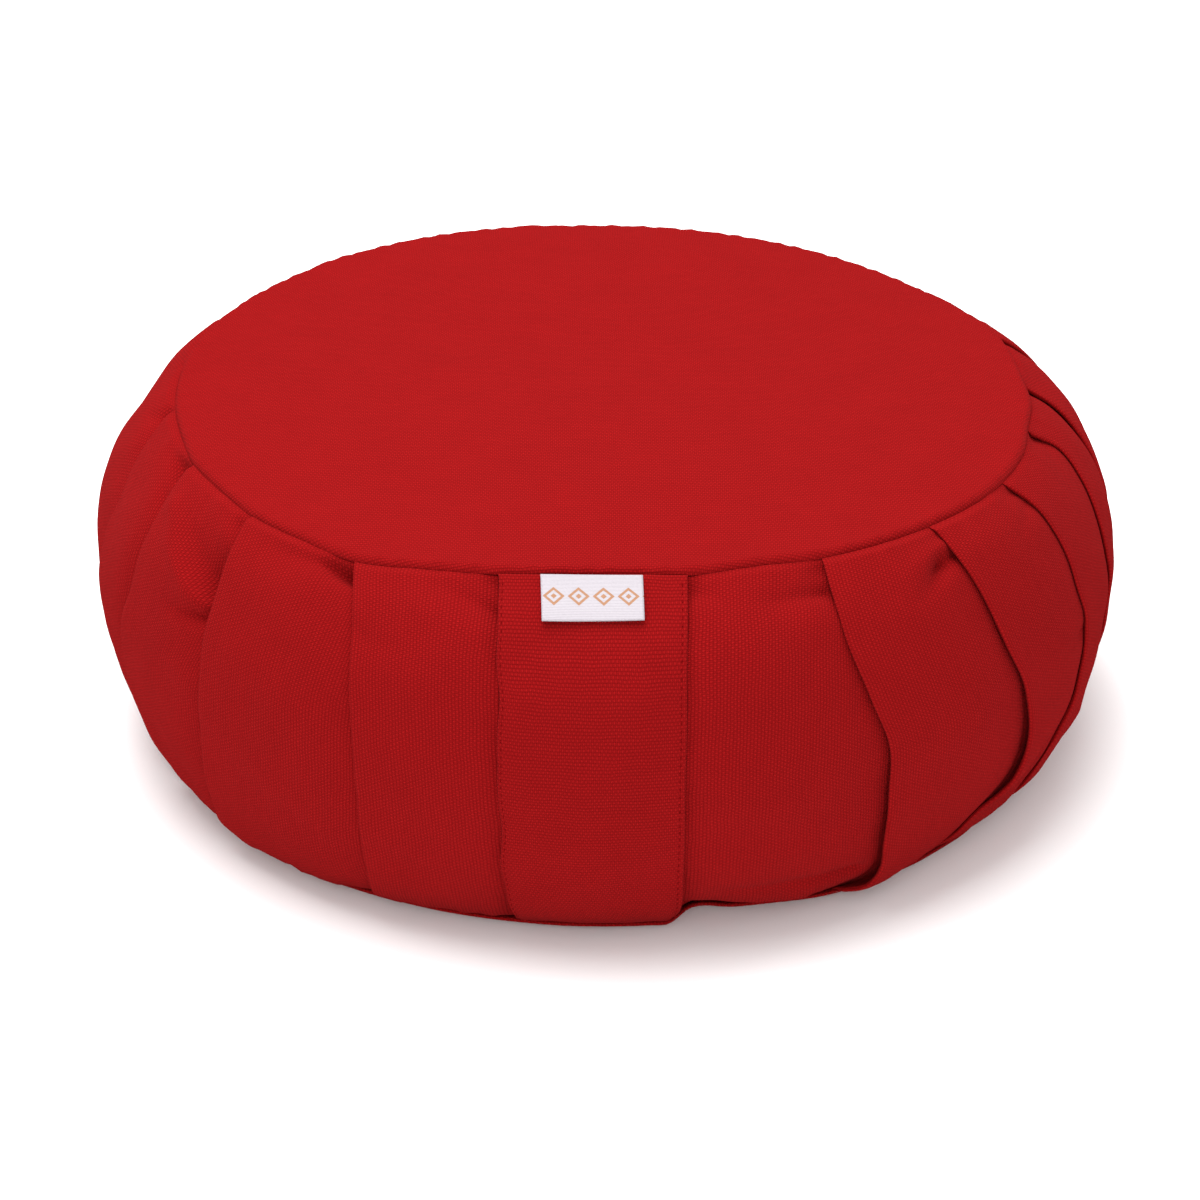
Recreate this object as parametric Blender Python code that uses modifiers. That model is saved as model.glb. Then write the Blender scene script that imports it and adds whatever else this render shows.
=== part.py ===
"""A round meditation cushion: two round canvas panels, a pleated side band, an overlap panel and a label.

Metres, +Z up. The origin is the middle of the underside, on the surface that the cushion stands on. -Y is
the front, where the overlap panel closes the side band, and angles run round the cushion from -Y towards +X.
The side band and the filling that it holds are one solid: the pleats take their shape from what fills them.
"""

import math
from typing import NamedTuple

import bmesh
import bpy
from mathutils import Vector

# Driving dimensions
SEAM_RADIUS = 0.1490
SEAM_HEIGHT = 0.1250
HEM_RADIUS = 0.1570
HEM_HEIGHT = 0.0049
FLOOR_RADIUS = 0.1480
CROWN = 0.0075
CLOTH = 0.0015
GAP = 0.0004
RIM_ROLL = 0.0007

# The overlap panel: a doubled strip, and the shallow seat that it lies in
OVERLAP_THICKNESS = 0.0022
OVERLAP_SEAT = 0.0012
OVERLAP_EASE_DEG = 0.8
OVERLAP_START = 0.012
OVERLAP_END = 0.985

# The woven label, a folded ribbon sewn in the top seam
LABEL_WIDTH = 0.033
LABEL_END = 0.135
LABEL_THICKNESS = 0.0010
LABEL_CENTRE_DEG = -1.4
LABEL_GAP = 0.0006

# How finely the solids are faceted
SIDE_ROWS = 16
CAP_RINGS = 3
SEAT_COLUMNS = 6
OPENING_COLUMNS = (0.18, 0.50, 0.82)
FACE_COLUMNS = (0.0, 0.10, 0.30, 0.55, 0.80)
STEP_DEG = 0.35
PANEL_STEPS = 64
PANEL_SHARES = (0, 0.25, 0.5, 0.75, 0.93)
LABEL_COLUMNS = 6
LABEL_ROWS = 3
FOLD_SHARP_DEG = 35

# The pleats' relief, from the surface that the band would have without them
SEWN_SHARE = 0.012
FOLD_STEP = 0.0022
FACE_BULGE = 0.0020
FACE_DIP = 0.0016


class OutlinePoint(NamedTuple):
    """A point of the side's outline: its distance from the axis and its height."""

    radius: float
    height: float


SIDE_OUTLINE = (
    OutlinePoint(SEAM_RADIUS, SEAM_HEIGHT - CLOTH - GAP),
    OutlinePoint(radius=0.1600, height=0.1155),
    OutlinePoint(radius=0.1690, height=0.1035),
    OutlinePoint(radius=0.1755, height=0.0885),
    OutlinePoint(radius=0.1785, height=0.0705),
    OutlinePoint(radius=0.1772, height=0.0490),
    OutlinePoint(radius=0.1730, height=0.0300),
    OutlinePoint(radius=0.1662, height=0.0142),
    OutlinePoint(HEM_RADIUS, HEM_HEIGHT),
)


class FoldLine(NamedTuple):
    """An edge from seam to hem: its angles at seam, belly and hem, and how far it stands off the band."""

    seam: float
    belly: float
    hem: float
    flare: float


# Each pleat's folded edge lies over the face before it
PLEATS = (
    FoldLine(seam=27.6, belly=29.6, hem=30.0, flare=0.0040),
    FoldLine(seam=44.1, belly=48.6, hem=46.0, flare=0.0050),
    FoldLine(seam=60.1, belly=64.4, hem=61.5, flare=0.0045),
    FoldLine(seam=76.2, belly=77.0, hem=76.5, flare=0.0025),
    FoldLine(seam=91.8, belly=93.6, hem=92.5, flare=0.0015),
    FoldLine(seam=105.1, belly=107.0, hem=106.0, flare=0.0020),
    FoldLine(seam=121.0, belly=122.5, hem=121.0, flare=0.0015),
    FoldLine(seam=136.8, belly=139.0, hem=138.0, flare=0.0025),
    FoldLine(seam=152.5, belly=154.0, hem=153.0, flare=0.0015),
    FoldLine(seam=168.6, belly=170.5, hem=170.0, flare=0.0020),
    FoldLine(seam=184.2, belly=186.0, hem=184.5, flare=0.0025),
    FoldLine(seam=200.0, belly=201.5, hem=201.0, flare=0.0015),
    FoldLine(seam=215.6, belly=217.5, hem=216.0, flare=0.0020),
    FoldLine(seam=231.4, belly=232.5, hem=232.0, flare=0.0015),
    FoldLine(seam=247.2, belly=248.5, hem=247.5, flare=0.0015),
    FoldLine(seam=263.0, belly=263.8, hem=263.0, flare=0.0015),
    FoldLine(seam=278.4, belly=278.2, hem=279.0, flare=0.0010),
    FoldLine(seam=295.0, belly=295.2, hem=294.2, flare=0.0010),
    FoldLine(seam=310.7, belly=312.4, hem=310.8, flare=0.0010),
    FoldLine(seam=329.1, belly=333.2, hem=332.4, flare=0.0010),
)

# The edges of the overlap panel, which is about as wide from seam to hem
OVERLAP_LEFT = FoldLine(seam=-13.3, belly=-10.9, hem=-10.9, flare=0.0)
OVERLAP_RIGHT = FoldLine(seam=10.3, belly=8.2, hem=9.0, flare=0.0)


def straight_line(angle):
    """A fold line that keeps one angle and lies flat."""
    return FoldLine(seam=angle, belly=angle, hem=angle, flare=0.0)


def edge_angle(line, share):
    """A fold line's angle in degrees at a share of the way from seam to hem, through its three angles."""
    bend = 2 * (line.seam - 2 * line.belly + line.hem)
    return line.seam + (line.hem - line.seam) * share - bend * share * (1 - share)


def spline(points, share):
    """A point of the smooth curve through the points, for a share from 0 to 1."""
    along = share * (len(points) - 1)
    start = min(int(along), len(points) - 2)
    t = along - start
    before, here, there, after = (
        Vector(points[min(max(start + k, 0), len(points) - 1)]) for k in (-1, 0, 1, 2)
    )
    return 0.5 * (
        2 * here
        + (there - before) * t
        + (2 * before - 5 * here + 4 * there - after) * t**2
        + (3 * here - before - 3 * there + after) * t**3
    )


def side_point(share, offset=0.0):
    """Radius and height on the side's outline, moved outwards along its normal by offset."""
    step = 0.002
    along = spline(SIDE_OUTLINE, min(share + step, 1)) - spline(SIDE_OUTLINE, max(share - step, 0))
    normal = Vector((-along[1], along[0])).normalized()
    return spline(SIDE_OUTLINE, share) + normal * offset


def place(radius, height, degrees):
    """A point in space from its distance from the axis, its height and its angle from the front."""
    angle = math.radians(degrees)
    return Vector((radius * math.sin(angle), -radius * math.cos(angle), height))


def crown_height(radius):
    """Height of the top panel's upper face over a radius: a shallow dome that meets the seam."""
    return SEAM_HEIGHT + CROWN * (1 - (radius / SEAM_RADIUS) ** 2)


def fold_swell(share):
    """How much of the pleats' relief there is from seam to hem: none where they are sewn down."""
    free = (share - SEWN_SHARE) / (1 - 2 * SEWN_SHARE)
    return math.sin(math.pi * min(max(free, 0), 1)) ** 0.5


def face_relief(flare, across, swell):
    """How far a pleat's face stands out: proud at its own fold, crowned in the middle, low at the next."""
    edge = (FOLD_STEP + flare) * (1 - across) ** 2
    crown = FACE_BULGE * math.sin(math.pi * across)
    return swell * (edge + crown - FACE_DIP * across)


def side_columns(share):
    """(angle, relief) of every column round the side at one height, in order."""
    swell = fold_swell(share)
    first = edge_angle(PLEATS[0], share)
    seat_from = edge_angle(OVERLAP_LEFT, share) - OVERLAP_EASE_DEG
    seat_to = edge_angle(OVERLAP_RIGHT, share) + OVERLAP_EASE_DEG
    seat_step = (seat_to - seat_from) / SEAT_COLUMNS
    columns = [(seat_from + seat_step * k, -OVERLAP_SEAT) for k in range(SEAT_COLUMNS + 1)]
    opening = first - STEP_DEG - seat_to
    for across in OPENING_COLUMNS:
        columns.append((seat_to + opening * across, swell * FACE_BULGE * math.sin(math.pi * across)))
    columns.append((first - STEP_DEG, -FACE_DIP * swell))
    following = [edge_angle(line, share) for line in PLEATS[1:]] + [seat_from + 360]
    for line, stop in zip(PLEATS, following):
        start = edge_angle(line, share)
        face = stop - STEP_DEG - start
        for across in FACE_COLUMNS:
            columns.append((start + face * across, face_relief(line.flare, across, swell)))
        columns.append((stop - STEP_DEG, -FACE_DIP * swell))
    return columns


def row_shares():
    """The shares of the way from seam to hem at which the side has a row, closer near both seams."""
    return [(1 - math.cos(math.pi * row / SIDE_ROWS)) / 2 for row in range(SIDE_ROWS + 1)]


def cloth_material(name, colour, roughness):
    """A cloth material."""
    material = bpy.data.materials.new(name)
    material.use_nodes = True
    shader = material.node_tree.nodes["Principled BSDF"]
    shader.inputs["Base Color"].default_value = (*colour, 1)
    shader.inputs["Roughness"].default_value = roughness
    shader.inputs["Metallic"].default_value = 0.0
    return material


def add_object(name, mesh, material, collection):
    """Links a mesh as a named object with its material."""
    mesh.materials.append(material)
    made = bpy.data.objects.new(name, mesh)
    collection.objects.link(made)
    return made


def mesh_from_rings(name, rings, top, bottom):
    """A closed mesh lofted through rings of equally many points, capped with a fan at each end."""
    made = bmesh.new()
    loops = [[made.verts.new(point) for point in ring] for ring in rings]
    count = len(rings[0])
    for upper, lower in zip(loops, loops[1:]):
        for k in range(count):
            after = (k + 1) % count
            made.faces.new((upper[k], lower[k], lower[after], upper[after]))
    peak, foot = made.verts.new(top), made.verts.new(bottom)
    for k in range(count):
        after = (k + 1) % count
        made.faces.new((peak, loops[0][k], loops[0][after]))
        made.faces.new((foot, loops[-1][after], loops[-1][k]))
    bmesh.ops.recalc_face_normals(made, faces=made.faces)
    mesh = bpy.data.meshes.new(name)
    made.to_mesh(mesh)
    made.free()
    mesh.shade_smooth()
    mesh.set_sharp_from_angle(angle=math.radians(FOLD_SHARP_DEG))
    return mesh


def pleated_side(material, collection):
    """The pleated side band, round and full with its filling, as one solid between the two panels."""
    rings = []
    seam_angles = [angle for angle, _ in side_columns(0)]
    for k in range(1, CAP_RINGS + 1):
        radius = (SEAM_RADIUS - CLOTH) * k / CAP_RINGS
        rings.append([place(radius, crown_height(radius) - CLOTH - GAP, angle) for angle in seam_angles])
    for share in row_shares():
        rings.append([place(*side_point(share, relief), angle) for angle, relief in side_columns(share)])
    hem_angles = [angle for angle, _ in side_columns(1)]
    for k in range(CAP_RINGS, 0, -1):
        radius = (FLOOR_RADIUS - GAP) * k / CAP_RINGS
        rings.append([place(radius, CLOTH + GAP, angle) for angle in hem_angles])
    top = (0, 0, crown_height(0) - CLOTH - GAP)
    bottom = (0, 0, CLOTH + GAP)
    mesh = mesh_from_rings("pleated_side", rings, top, bottom)
    return add_object("pleated_side", mesh, material, collection)


def turned(name, outline, material, collection):
    """A solid of revolution about Z from (radius, height) pairs, first and last on the axis."""
    mesh = bpy.data.meshes.new(name)
    edges = [(k, k + 1) for k in range(len(outline) - 1)]
    mesh.from_pydata([(radius, 0, height) for radius, height in outline], edges, [])
    made = add_object(name, mesh, material, collection)
    screw = made.modifiers.new("Turn", "SCREW")
    screw.steps = screw.render_steps = PANEL_STEPS
    screw.use_merge_vertices = True
    screw.merge_threshold = 0.00001
    screw.use_smooth_shade = True
    return made


def top_panel(material, collection):
    """The round top panel: crowned, its edge rolled down over the seam."""
    upper = [(radius, crown_height(radius)) for radius in (SEAM_RADIUS * share for share in PANEL_SHARES)]
    rim = [
        (SEAM_RADIUS, SEAM_HEIGHT),
        (SEAM_RADIUS + RIM_ROLL, SEAM_HEIGHT - RIM_ROLL),
        (SEAM_RADIUS + RIM_ROLL, SEAM_HEIGHT - CLOTH),
        (SEAM_RADIUS - RIM_ROLL, SEAM_HEIGHT - CLOTH),
    ]
    lower = [(radius, height - CLOTH) for radius, height in reversed(upper)]
    return turned("top_panel", upper + rim + lower, material, collection)


def bottom_panel(material, collection):
    """The round bottom panel: flat where it stands, its edge turned up to the hem."""
    inside = [(0, CLOTH), (FLOOR_RADIUS - GAP, CLOTH), (HEM_RADIUS + GAP, HEM_HEIGHT - GAP)]
    outside = [(HEM_RADIUS + CLOTH, HEM_HEIGHT - CLOTH), (FLOOR_RADIUS, 0), (0, 0)]
    return turned("bottom_panel", inside + outside, material, collection)


def sheet(name, rows, thickness, material, collection):
    """A curved sheet from rows of points on its inner face, thickened outwards."""
    made = bmesh.new()
    grid = [[made.verts.new(point) for point in row] for row in rows]
    for upper, lower in zip(grid, grid[1:]):
        for k in range(len(upper) - 1):
            made.faces.new((upper[k], lower[k], lower[k + 1], upper[k + 1]))
    mesh = bpy.data.meshes.new(name)
    made.to_mesh(mesh)
    made.free()
    cloth = add_object(name, mesh, material, collection)
    solidify = cloth.modifiers.new("Thickness", "SOLIDIFY")
    solidify.thickness = thickness
    solidify.offset = 1
    solidify.use_even_offset = True
    return cloth


def strip_rows(left, right, shares, offset, columns):
    """Rows of points over the side between two fold lines, at an offset from its outline."""
    rows = []
    for share in shares:
        start = edge_angle(left, share)
        step = (edge_angle(right, share) - start) / columns
        rows.append([place(*side_point(share, offset), start + step * k) for k in range(columns + 1)])
    return rows


def front_overlap(material, collection):
    """The doubled strip that closes the band at the front, sewn in top and bottom."""
    shares = [OVERLAP_START, *row_shares()[2:-2], OVERLAP_END]
    rows = strip_rows(OVERLAP_LEFT, OVERLAP_RIGHT, shares, GAP - OVERLAP_SEAT, SEAT_COLUMNS)
    return sheet("front_overlap", rows, OVERLAP_THICKNESS, material, collection)


def label(material, collection):
    """The folded ribbon label, hanging from the top seam over the overlap panel."""
    half_deg = math.degrees(LABEL_WIDTH / 2 / SEAM_RADIUS)
    left, right = straight_line(LABEL_CENTRE_DEG - half_deg), straight_line(LABEL_CENTRE_DEG + half_deg)
    row_step = (LABEL_END - OVERLAP_START) / LABEL_ROWS
    shares = [OVERLAP_START + row_step * k for k in range(LABEL_ROWS + 1)]
    overlap_face = GAP - OVERLAP_SEAT + OVERLAP_THICKNESS
    rows = strip_rows(left, right, shares, overlap_face + LABEL_GAP, LABEL_COLUMNS)
    return sheet("label", rows, LABEL_THICKNESS, material, collection)


def main():
    """Builds the cushion in a collection of its own."""
    for old in list(bpy.data.objects):
        bpy.data.objects.remove(old)
    collection = bpy.data.collections.new("meditation_cushion")
    bpy.context.scene.collection.children.link(collection)
    red_canvas = cloth_material("red_canvas", colour=(0.48, 0.008, 0.013), roughness=0.85)
    white_ribbon = cloth_material("white_ribbon", colour=(0.83, 0.82, 0.84), roughness=0.7)
    pleated_side(red_canvas, collection)
    top_panel(red_canvas, collection)
    bottom_panel(red_canvas, collection)
    front_overlap(red_canvas, collection)
    label(white_ribbon, collection)


main()
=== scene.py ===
"""Looks of a round meditation cushion in red cotton canvas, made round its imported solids.

The cushion stands on z = 0 with its middle on the z axis. The front, where the overlap panel closes the
side band, faces -Y. Angles are in degrees round the cushion, from the front towards +X. A share runs down
the side, from 0 at the top seam to 1 at the hem seam. Panel 0 is the face of the band to the right of the
overlap panel, and panels 1 to 20 are the pleats that follow it round, each with a folded edge that lies
over the panel before.
"""

import logging
import math
from dataclasses import dataclass
from enum import Enum
from typing import NamedTuple

import bmesh
import bpy
import numpy as np
from bpy.types import Material, Node, NodeSocket, NodeTree, Object
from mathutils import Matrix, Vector
from numpy import ndarray


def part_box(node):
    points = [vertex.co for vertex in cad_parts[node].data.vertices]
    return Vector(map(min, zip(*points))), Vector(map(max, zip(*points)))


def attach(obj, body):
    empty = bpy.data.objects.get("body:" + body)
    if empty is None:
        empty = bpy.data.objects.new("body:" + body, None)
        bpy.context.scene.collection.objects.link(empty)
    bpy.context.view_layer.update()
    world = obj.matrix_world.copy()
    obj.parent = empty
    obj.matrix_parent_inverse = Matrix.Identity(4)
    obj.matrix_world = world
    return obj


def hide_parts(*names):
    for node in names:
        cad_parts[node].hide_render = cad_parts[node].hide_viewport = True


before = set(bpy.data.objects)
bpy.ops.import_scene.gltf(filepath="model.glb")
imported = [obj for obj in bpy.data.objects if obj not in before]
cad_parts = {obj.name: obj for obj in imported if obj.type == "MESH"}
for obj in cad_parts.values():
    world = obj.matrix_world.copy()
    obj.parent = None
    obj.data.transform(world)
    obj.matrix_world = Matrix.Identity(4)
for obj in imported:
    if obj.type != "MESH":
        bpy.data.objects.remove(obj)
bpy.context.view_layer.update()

LOG = logging.getLogger("cushion")
MM = 0.001
BODY = "root"
CLOTH_ATTRIBUTE = "cloth"


class Slot(Enum):
    """The record's material slots."""

    CANVAS = "canvas"
    RIBBON = "label_ribbon"


# ---------------------------------------------------------------- small tools


def linear_rgb(hex_colour: str) -> tuple[float, float, float, float]:
    """Turns an sRGB hex colour to linear.

    Args:
        hex_colour: Six hex digits after a hash sign.

    Returns:
        Linear red, green and blue, and an alpha of 1.
    """
    channels = [int(hex_colour[k : k + 2], 16) / 255 for k in (1, 3, 5)]
    linear = [c / 12.92 if c <= 0.04045 else ((c + 0.055) / 1.055) ** 2.4 for c in channels]
    return (*linear, 1.0)


def fill_inputs(tree: NodeTree, node: Node, inputs: dict | tuple) -> None:
    """Sets or links a node's inputs.

    Args:
        tree: The node tree.
        node: The node.
        inputs: Values, or the nodes or sockets that feed them, in order or by an input's name or number.
    """
    for key, value in inputs.items() if isinstance(inputs, dict) else enumerate(inputs):
        source = value.outputs[0] if isinstance(value, Node) else value
        if isinstance(source, NodeSocket):
            tree.links.new(source, node.inputs[key])
        else:
            node.inputs[key].default_value = source


def add_node(tree: NodeTree, kind: str, inputs: dict | tuple, **settings) -> Node:
    """Adds a node with its settings and links.

    Args:
        tree: The node tree.
        kind: The node's type, without the words that every shader node's type starts with.
        inputs: What fill_inputs takes.
        settings: The node's own properties.

    Returns:
        The new node.
    """
    node = tree.nodes.new("ShaderNode" + kind)
    for name, value in settings.items():
        setattr(node, name, value)
    fill_inputs(tree, node, inputs)
    return node


def new_material(name: str) -> tuple[Material, NodeTree, Node]:
    """Makes a material.

    Args:
        name: Its name.

    Returns:
        The material, its node tree and its shader.
    """
    made = bpy.data.materials.new(name)
    made.use_nodes = True
    return made, made.node_tree, made.node_tree.nodes["Principled BSDF"]


def smooth_step(x: ndarray) -> ndarray:
    """Rises softly from 0 to 1 as x goes from 0 to 1."""
    t = np.clip(x, 0, 1)
    return t * t * (3 - 2 * t)


def smooth_through(knots: ndarray, values: ndarray, at: ndarray) -> ndarray:
    """Reads a smooth curve through points.

    Args:
        knots: The points' places, in rising order.
        values: The points' values.
        at: The places to read.

    Returns:
        The curve's values there.
    """
    knots, values = np.asarray(knots, float), np.asarray(values, float)
    slopes = np.gradient(values, knots)
    k = np.clip(np.searchsorted(knots, at) - 1, 0, len(knots) - 2)
    span = knots[k + 1] - knots[k]
    t = np.clip((at - knots[k]) / span, 0, 1)
    start = (2 * t**3 - 3 * t**2 + 1) * values[k] + (t**3 - 2 * t**2 + t) * span * slopes[k]
    end = (3 * t**2 - 2 * t**3) * values[k + 1] + (t**3 - t**2) * span * slopes[k + 1]
    return start + end


def smooth_round(angles: ndarray, values: ndarray, at: ndarray) -> ndarray:
    """Reads a smooth curve that closes round the cushion.

    Args:
        angles: The points' angles in rising order, within one turn.
        values: The points' values.
        at: The angles to read.

    Returns:
        The curve's values there.
    """
    angles, values = np.asarray(angles, float), np.asarray(values, float)
    turns = np.concatenate([angles[-3:] - 360, angles, angles[:3] + 360])
    wrapped = np.concatenate([values[-3:], values, values[:3]])
    return smooth_through(turns, wrapped, (at - angles[0]) % 360 + angles[0])


def crowded(count: int, evenness: float) -> ndarray:
    """Gives numbers from 0 to 1 that stand closer together near both ends, the more so the less even."""
    even = np.linspace(0, 1, count)
    return evenness * even + (1 - evenness) * (1 - np.cos(np.pi * even)) / 2


def bell(x: ndarray, power: float = 2) -> ndarray:
    """Falls from 1 where x is 0 towards 0 on both sides."""
    return np.exp(-(np.abs(x) ** power))


def in_space(x: ndarray, y: ndarray, z: ndarray) -> ndarray:
    """Joins x, y and z to points."""
    return np.stack(np.broadcast_arrays(x, y, z), -1)


def on_circle(turn: ndarray, radius: ndarray, height: ndarray) -> ndarray:
    """Places points round the z axis, at angles in radians from the front."""
    return in_space(radius * np.sin(turn), -radius * np.cos(turn), height)


def cloth_object(name: str, points: ndarray, faces: list, cloth: ndarray, material: Material) -> Object:
    """Makes a smooth-shaded piece that rides on the cushion's body.

    Args:
        name: The piece's name.
        points: Vertices, in metres.
        faces: Vertex numbers of each face.
        cloth: Each vertex's place on the flat cloth, in metres: along the thick threads, across them, and a
            third number that sets pieces apart.
        material: The finish.

    Returns:
        The new object.
    """
    mesh = bpy.data.meshes.new(name)
    mesh.from_pydata(points.reshape(-1, 3).tolist(), [], faces)
    attribute = mesh.attributes.new(CLOTH_ATTRIBUTE, "FLOAT_VECTOR", "POINT")
    attribute.data.foreach_set("vector", cloth.reshape(-1, 3).astype(np.float32).ravel())
    mesh.shade_smooth()
    mesh.materials.append(material)
    made = bpy.data.objects.new(name, mesh)
    bpy.context.scene.collection.objects.link(made)
    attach(made, BODY)
    return made


def grid_faces(rows: int, columns: int) -> list:
    """Gives the quads of a grid whose columns close into a ring.

    Args:
        rows: How many rows of points there are.
        columns: How many points a row has.

    Returns:
        Vertex numbers of each quad.
    """
    first = np.arange(rows - 1)[:, None] * columns + np.arange(columns)
    after = np.arange(rows - 1)[:, None] * columns + (np.arange(columns) + 1) % columns
    return np.stack([first, first + columns, after + columns, after], -1).reshape(-1, 4).tolist()


def ringed_piece(name: str, rings: ndarray, cloth: ndarray, material: Material) -> Object:
    """Makes a closed piece from rings that shrink to a point at each end.

    Args:
        name: The piece's name.
        rings: Points as rings by columns by 3, the first and last ring small.
        cloth: The places on the cloth in the same layout.
        material: The finish.

    Returns:
        The new object.
    """
    rows, columns, _ = rings.shape
    points = np.concatenate([rings.reshape(-1, 3), rings[[0, -1]].mean(1)])
    places = np.concatenate([cloth.reshape(-1, 3), cloth[[0, -1]].mean(1)])
    faces = grid_faces(rows, columns)
    start, last = rows * columns, (rows - 1) * columns
    for k in range(columns):
        after = (k + 1) % columns
        faces.append([start, k, after])
        faces.append([start + 1, last + after, last + k])
    return cloth_object(name, points, faces, places, material)


def looped_piece(name: str, loops: ndarray, cloth: ndarray, material: Material) -> Object:
    """Makes a closed piece by sweeping a loop whose second half runs back behind its first half.

    Args:
        name: The piece's name.
        loops: Points as stations by loop points by 3, with an even number of loop points.
        cloth: The places on the cloth in the same layout.
        material: The finish.

    Returns:
        The new object.
    """
    stations, count, _ = loops.shape
    faces = grid_faces(stations, count)
    last = (stations - 1) * count
    for k in range(count // 2 - 1):
        faces.append([k, k + 1, count - 2 - k, count - 1 - k])
        faces.append([last + k + 1, last + k, last + count - 1 - k, last + count - 2 - k])
    made = cloth_object(name, loops, faces, cloth, material)
    editable = bmesh.new()
    editable.from_mesh(made.data)
    bmesh.ops.recalc_face_normals(editable, faces=editable.faces)
    editable.to_mesh(made.data)
    editable.free()
    return made


# ---------------------------------------------------------------- the filled shape


@dataclass(frozen=True)
class CushionSizes:
    """The cushion's main sizes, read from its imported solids, in metres."""

    seam_radius: float
    seam_height: float
    peak_height: float
    belly_radius: float
    hem_radius: float
    hem_height: float

    @classmethod
    def from_frame(cls) -> "CushionSizes":
        """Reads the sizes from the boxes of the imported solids.

        Returns:
            The sizes.
        """
        sheet = 1.5 * MM
        overlap_proud = 1.4 * MM
        top_low, top_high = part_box("top_panel")
        _, bottom_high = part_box("bottom_panel")
        overlap_low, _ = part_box("front_overlap")
        return cls(
            seam_radius=top_high.x,
            seam_height=top_low.z + sheet,
            peak_height=top_high.z,
            belly_radius=-overlap_low.y - overlap_proud,
            hem_radius=bottom_high.x - sheet,
            hem_height=bottom_high.z,
        )


class OutlinePoint(NamedTuple):
    """A point of the outline: rise from 0 at the floor to 1 at the seam, reach from seam to belly radius."""

    rise: float
    reach: float


OUTLINE = tuple(OutlinePoint(*row) for row in (
    (0.996, 0.000), (0.924, 0.373), (0.828, 0.678), (0.708, 0.898), (0.564, 1.000),
    (0.392, 0.956), (0.240, 0.814), (0.114, 0.583), (0.036, 0.271),
))


class SeamPoint(NamedTuple):
    """A seam's place at an angle: its distance from the axis and its height, in mm from the nominal."""

    angle: float
    out: float
    up: float


# The seam runs nearly straight behind the overlap panel, and dips between the pleats on the front left
SEAM_PLAN = tuple(SeamPoint(*row) for row in (
    (-81.5, 0.2, 0.0), (-72.8, 0.6, 0.0), (-65.0, 2.0, -0.2), (-56.0, 2.2, -0.5), (-49.3, 3.0, -1.0),
    (-39.3, 2.9, -1.3), (-30.9, 3.1, -1.9), (-22.2, 0.2, -0.4), (-13.3, -2.2, 0.4), (-6.5, -4.2, 0.6),
    (3.5, -4.4, 0.6), (10.1, -2.2, 0.8), (18.7, -2.0, 1.2), (27.6, 0.2, 0.6), (35.8, 1.2, 0.1),
    (44.1, 1.8, -0.2), (51.7, 3.0, 0.0), (60.1, 2.6, -0.3), (69.4, 1.4, 0.0), (76.2, -1.0, -0.1),
    (84.0, -1.2, 0.2), (91.8, -3.0, 0.2), (98.0, -2.8, 0.0), (105.1, -1.8, -0.4), (115.0, -2.0, -1.4),
    (125.0, -2.6, -2.2), (136.8, -2.2, -2.2), (148.0, -1.8, -1.8), (158.0, -1.4, -1.5),
    (168.6, -1.6, -1.0), (184.0, -1.2, -0.8), (200.0, 0.3, 0.0), (215.0, 0.6, 0.6), (231.4, 0.4, 0.8),
    (250.0, 0.6, 0.8), (263.0, 0.4, 0.6),
))

# The hem draws in and rises to the right of the overlap panel, and stands out under the pleats on the left
HEM_PLAN = tuple(SeamPoint(*row) for row in (
    (-160.0, 0.0, 0.0), (-100.0, 0.0, 0.0), (-75.0, -1.5, 0.0), (-62.0, -0.6, 0.0), (-50.0, 2.8, 0.0),
    (-40.0, 1.8, 0.0), (-28.0, 0.4, 0.0), (-12.0, 0.0, 0.0), (5.5, 0.0, 0.0), (7.4, 0.0, 0.0),
    (10.4, -6.0, 1.5), (16.0, -4.6, 1.0), (22.0, -3.0, 0.5), (27.0, -1.2, 0.0), (33.0, 0.0, 0.0),
    (42.0, 0.2, 0.0), (55.0, -0.8, 0.0), (70.0, 0.0, 0.0), (100.0, 0.0, 0.0), (150.0, 0.0, 0.0),
))


@dataclass(frozen=True)
class Unevenness:
    """Soft waves through space that swell and sink a hand-filled surface, the same each run.

    Attributes:
        seed: Starts the random draws.
        waves: How many sine waves are added up.
        longest: The longest wave, in metres.
        shortest: The shortest wave, in metres.
        height: How far the sum swings either way, in metres.
    """

    seed: int
    waves: int
    longest: float
    shortest: float
    height: float

    def on(self, points: ndarray) -> ndarray:
        """Reads the waves.

        Args:
            points: Places on the cushion, x, y and z last, in metres.

        Returns:
            Heights in metres.
        """
        random = np.random.default_rng(self.seed)
        total = np.zeros(points.shape[:-1])
        for _ in range(self.waves):
            heading = random.normal(size=3)
            heading = heading / np.linalg.norm(heading)
            wave = math.exp(random.uniform(math.log(self.shortest), math.log(self.longest)))
            start = random.uniform(0, 2 * math.pi)
            total = total + np.sin(points @ heading * 2 * math.pi / wave + start)
        return total * self.height / math.sqrt(self.waves)


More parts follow.
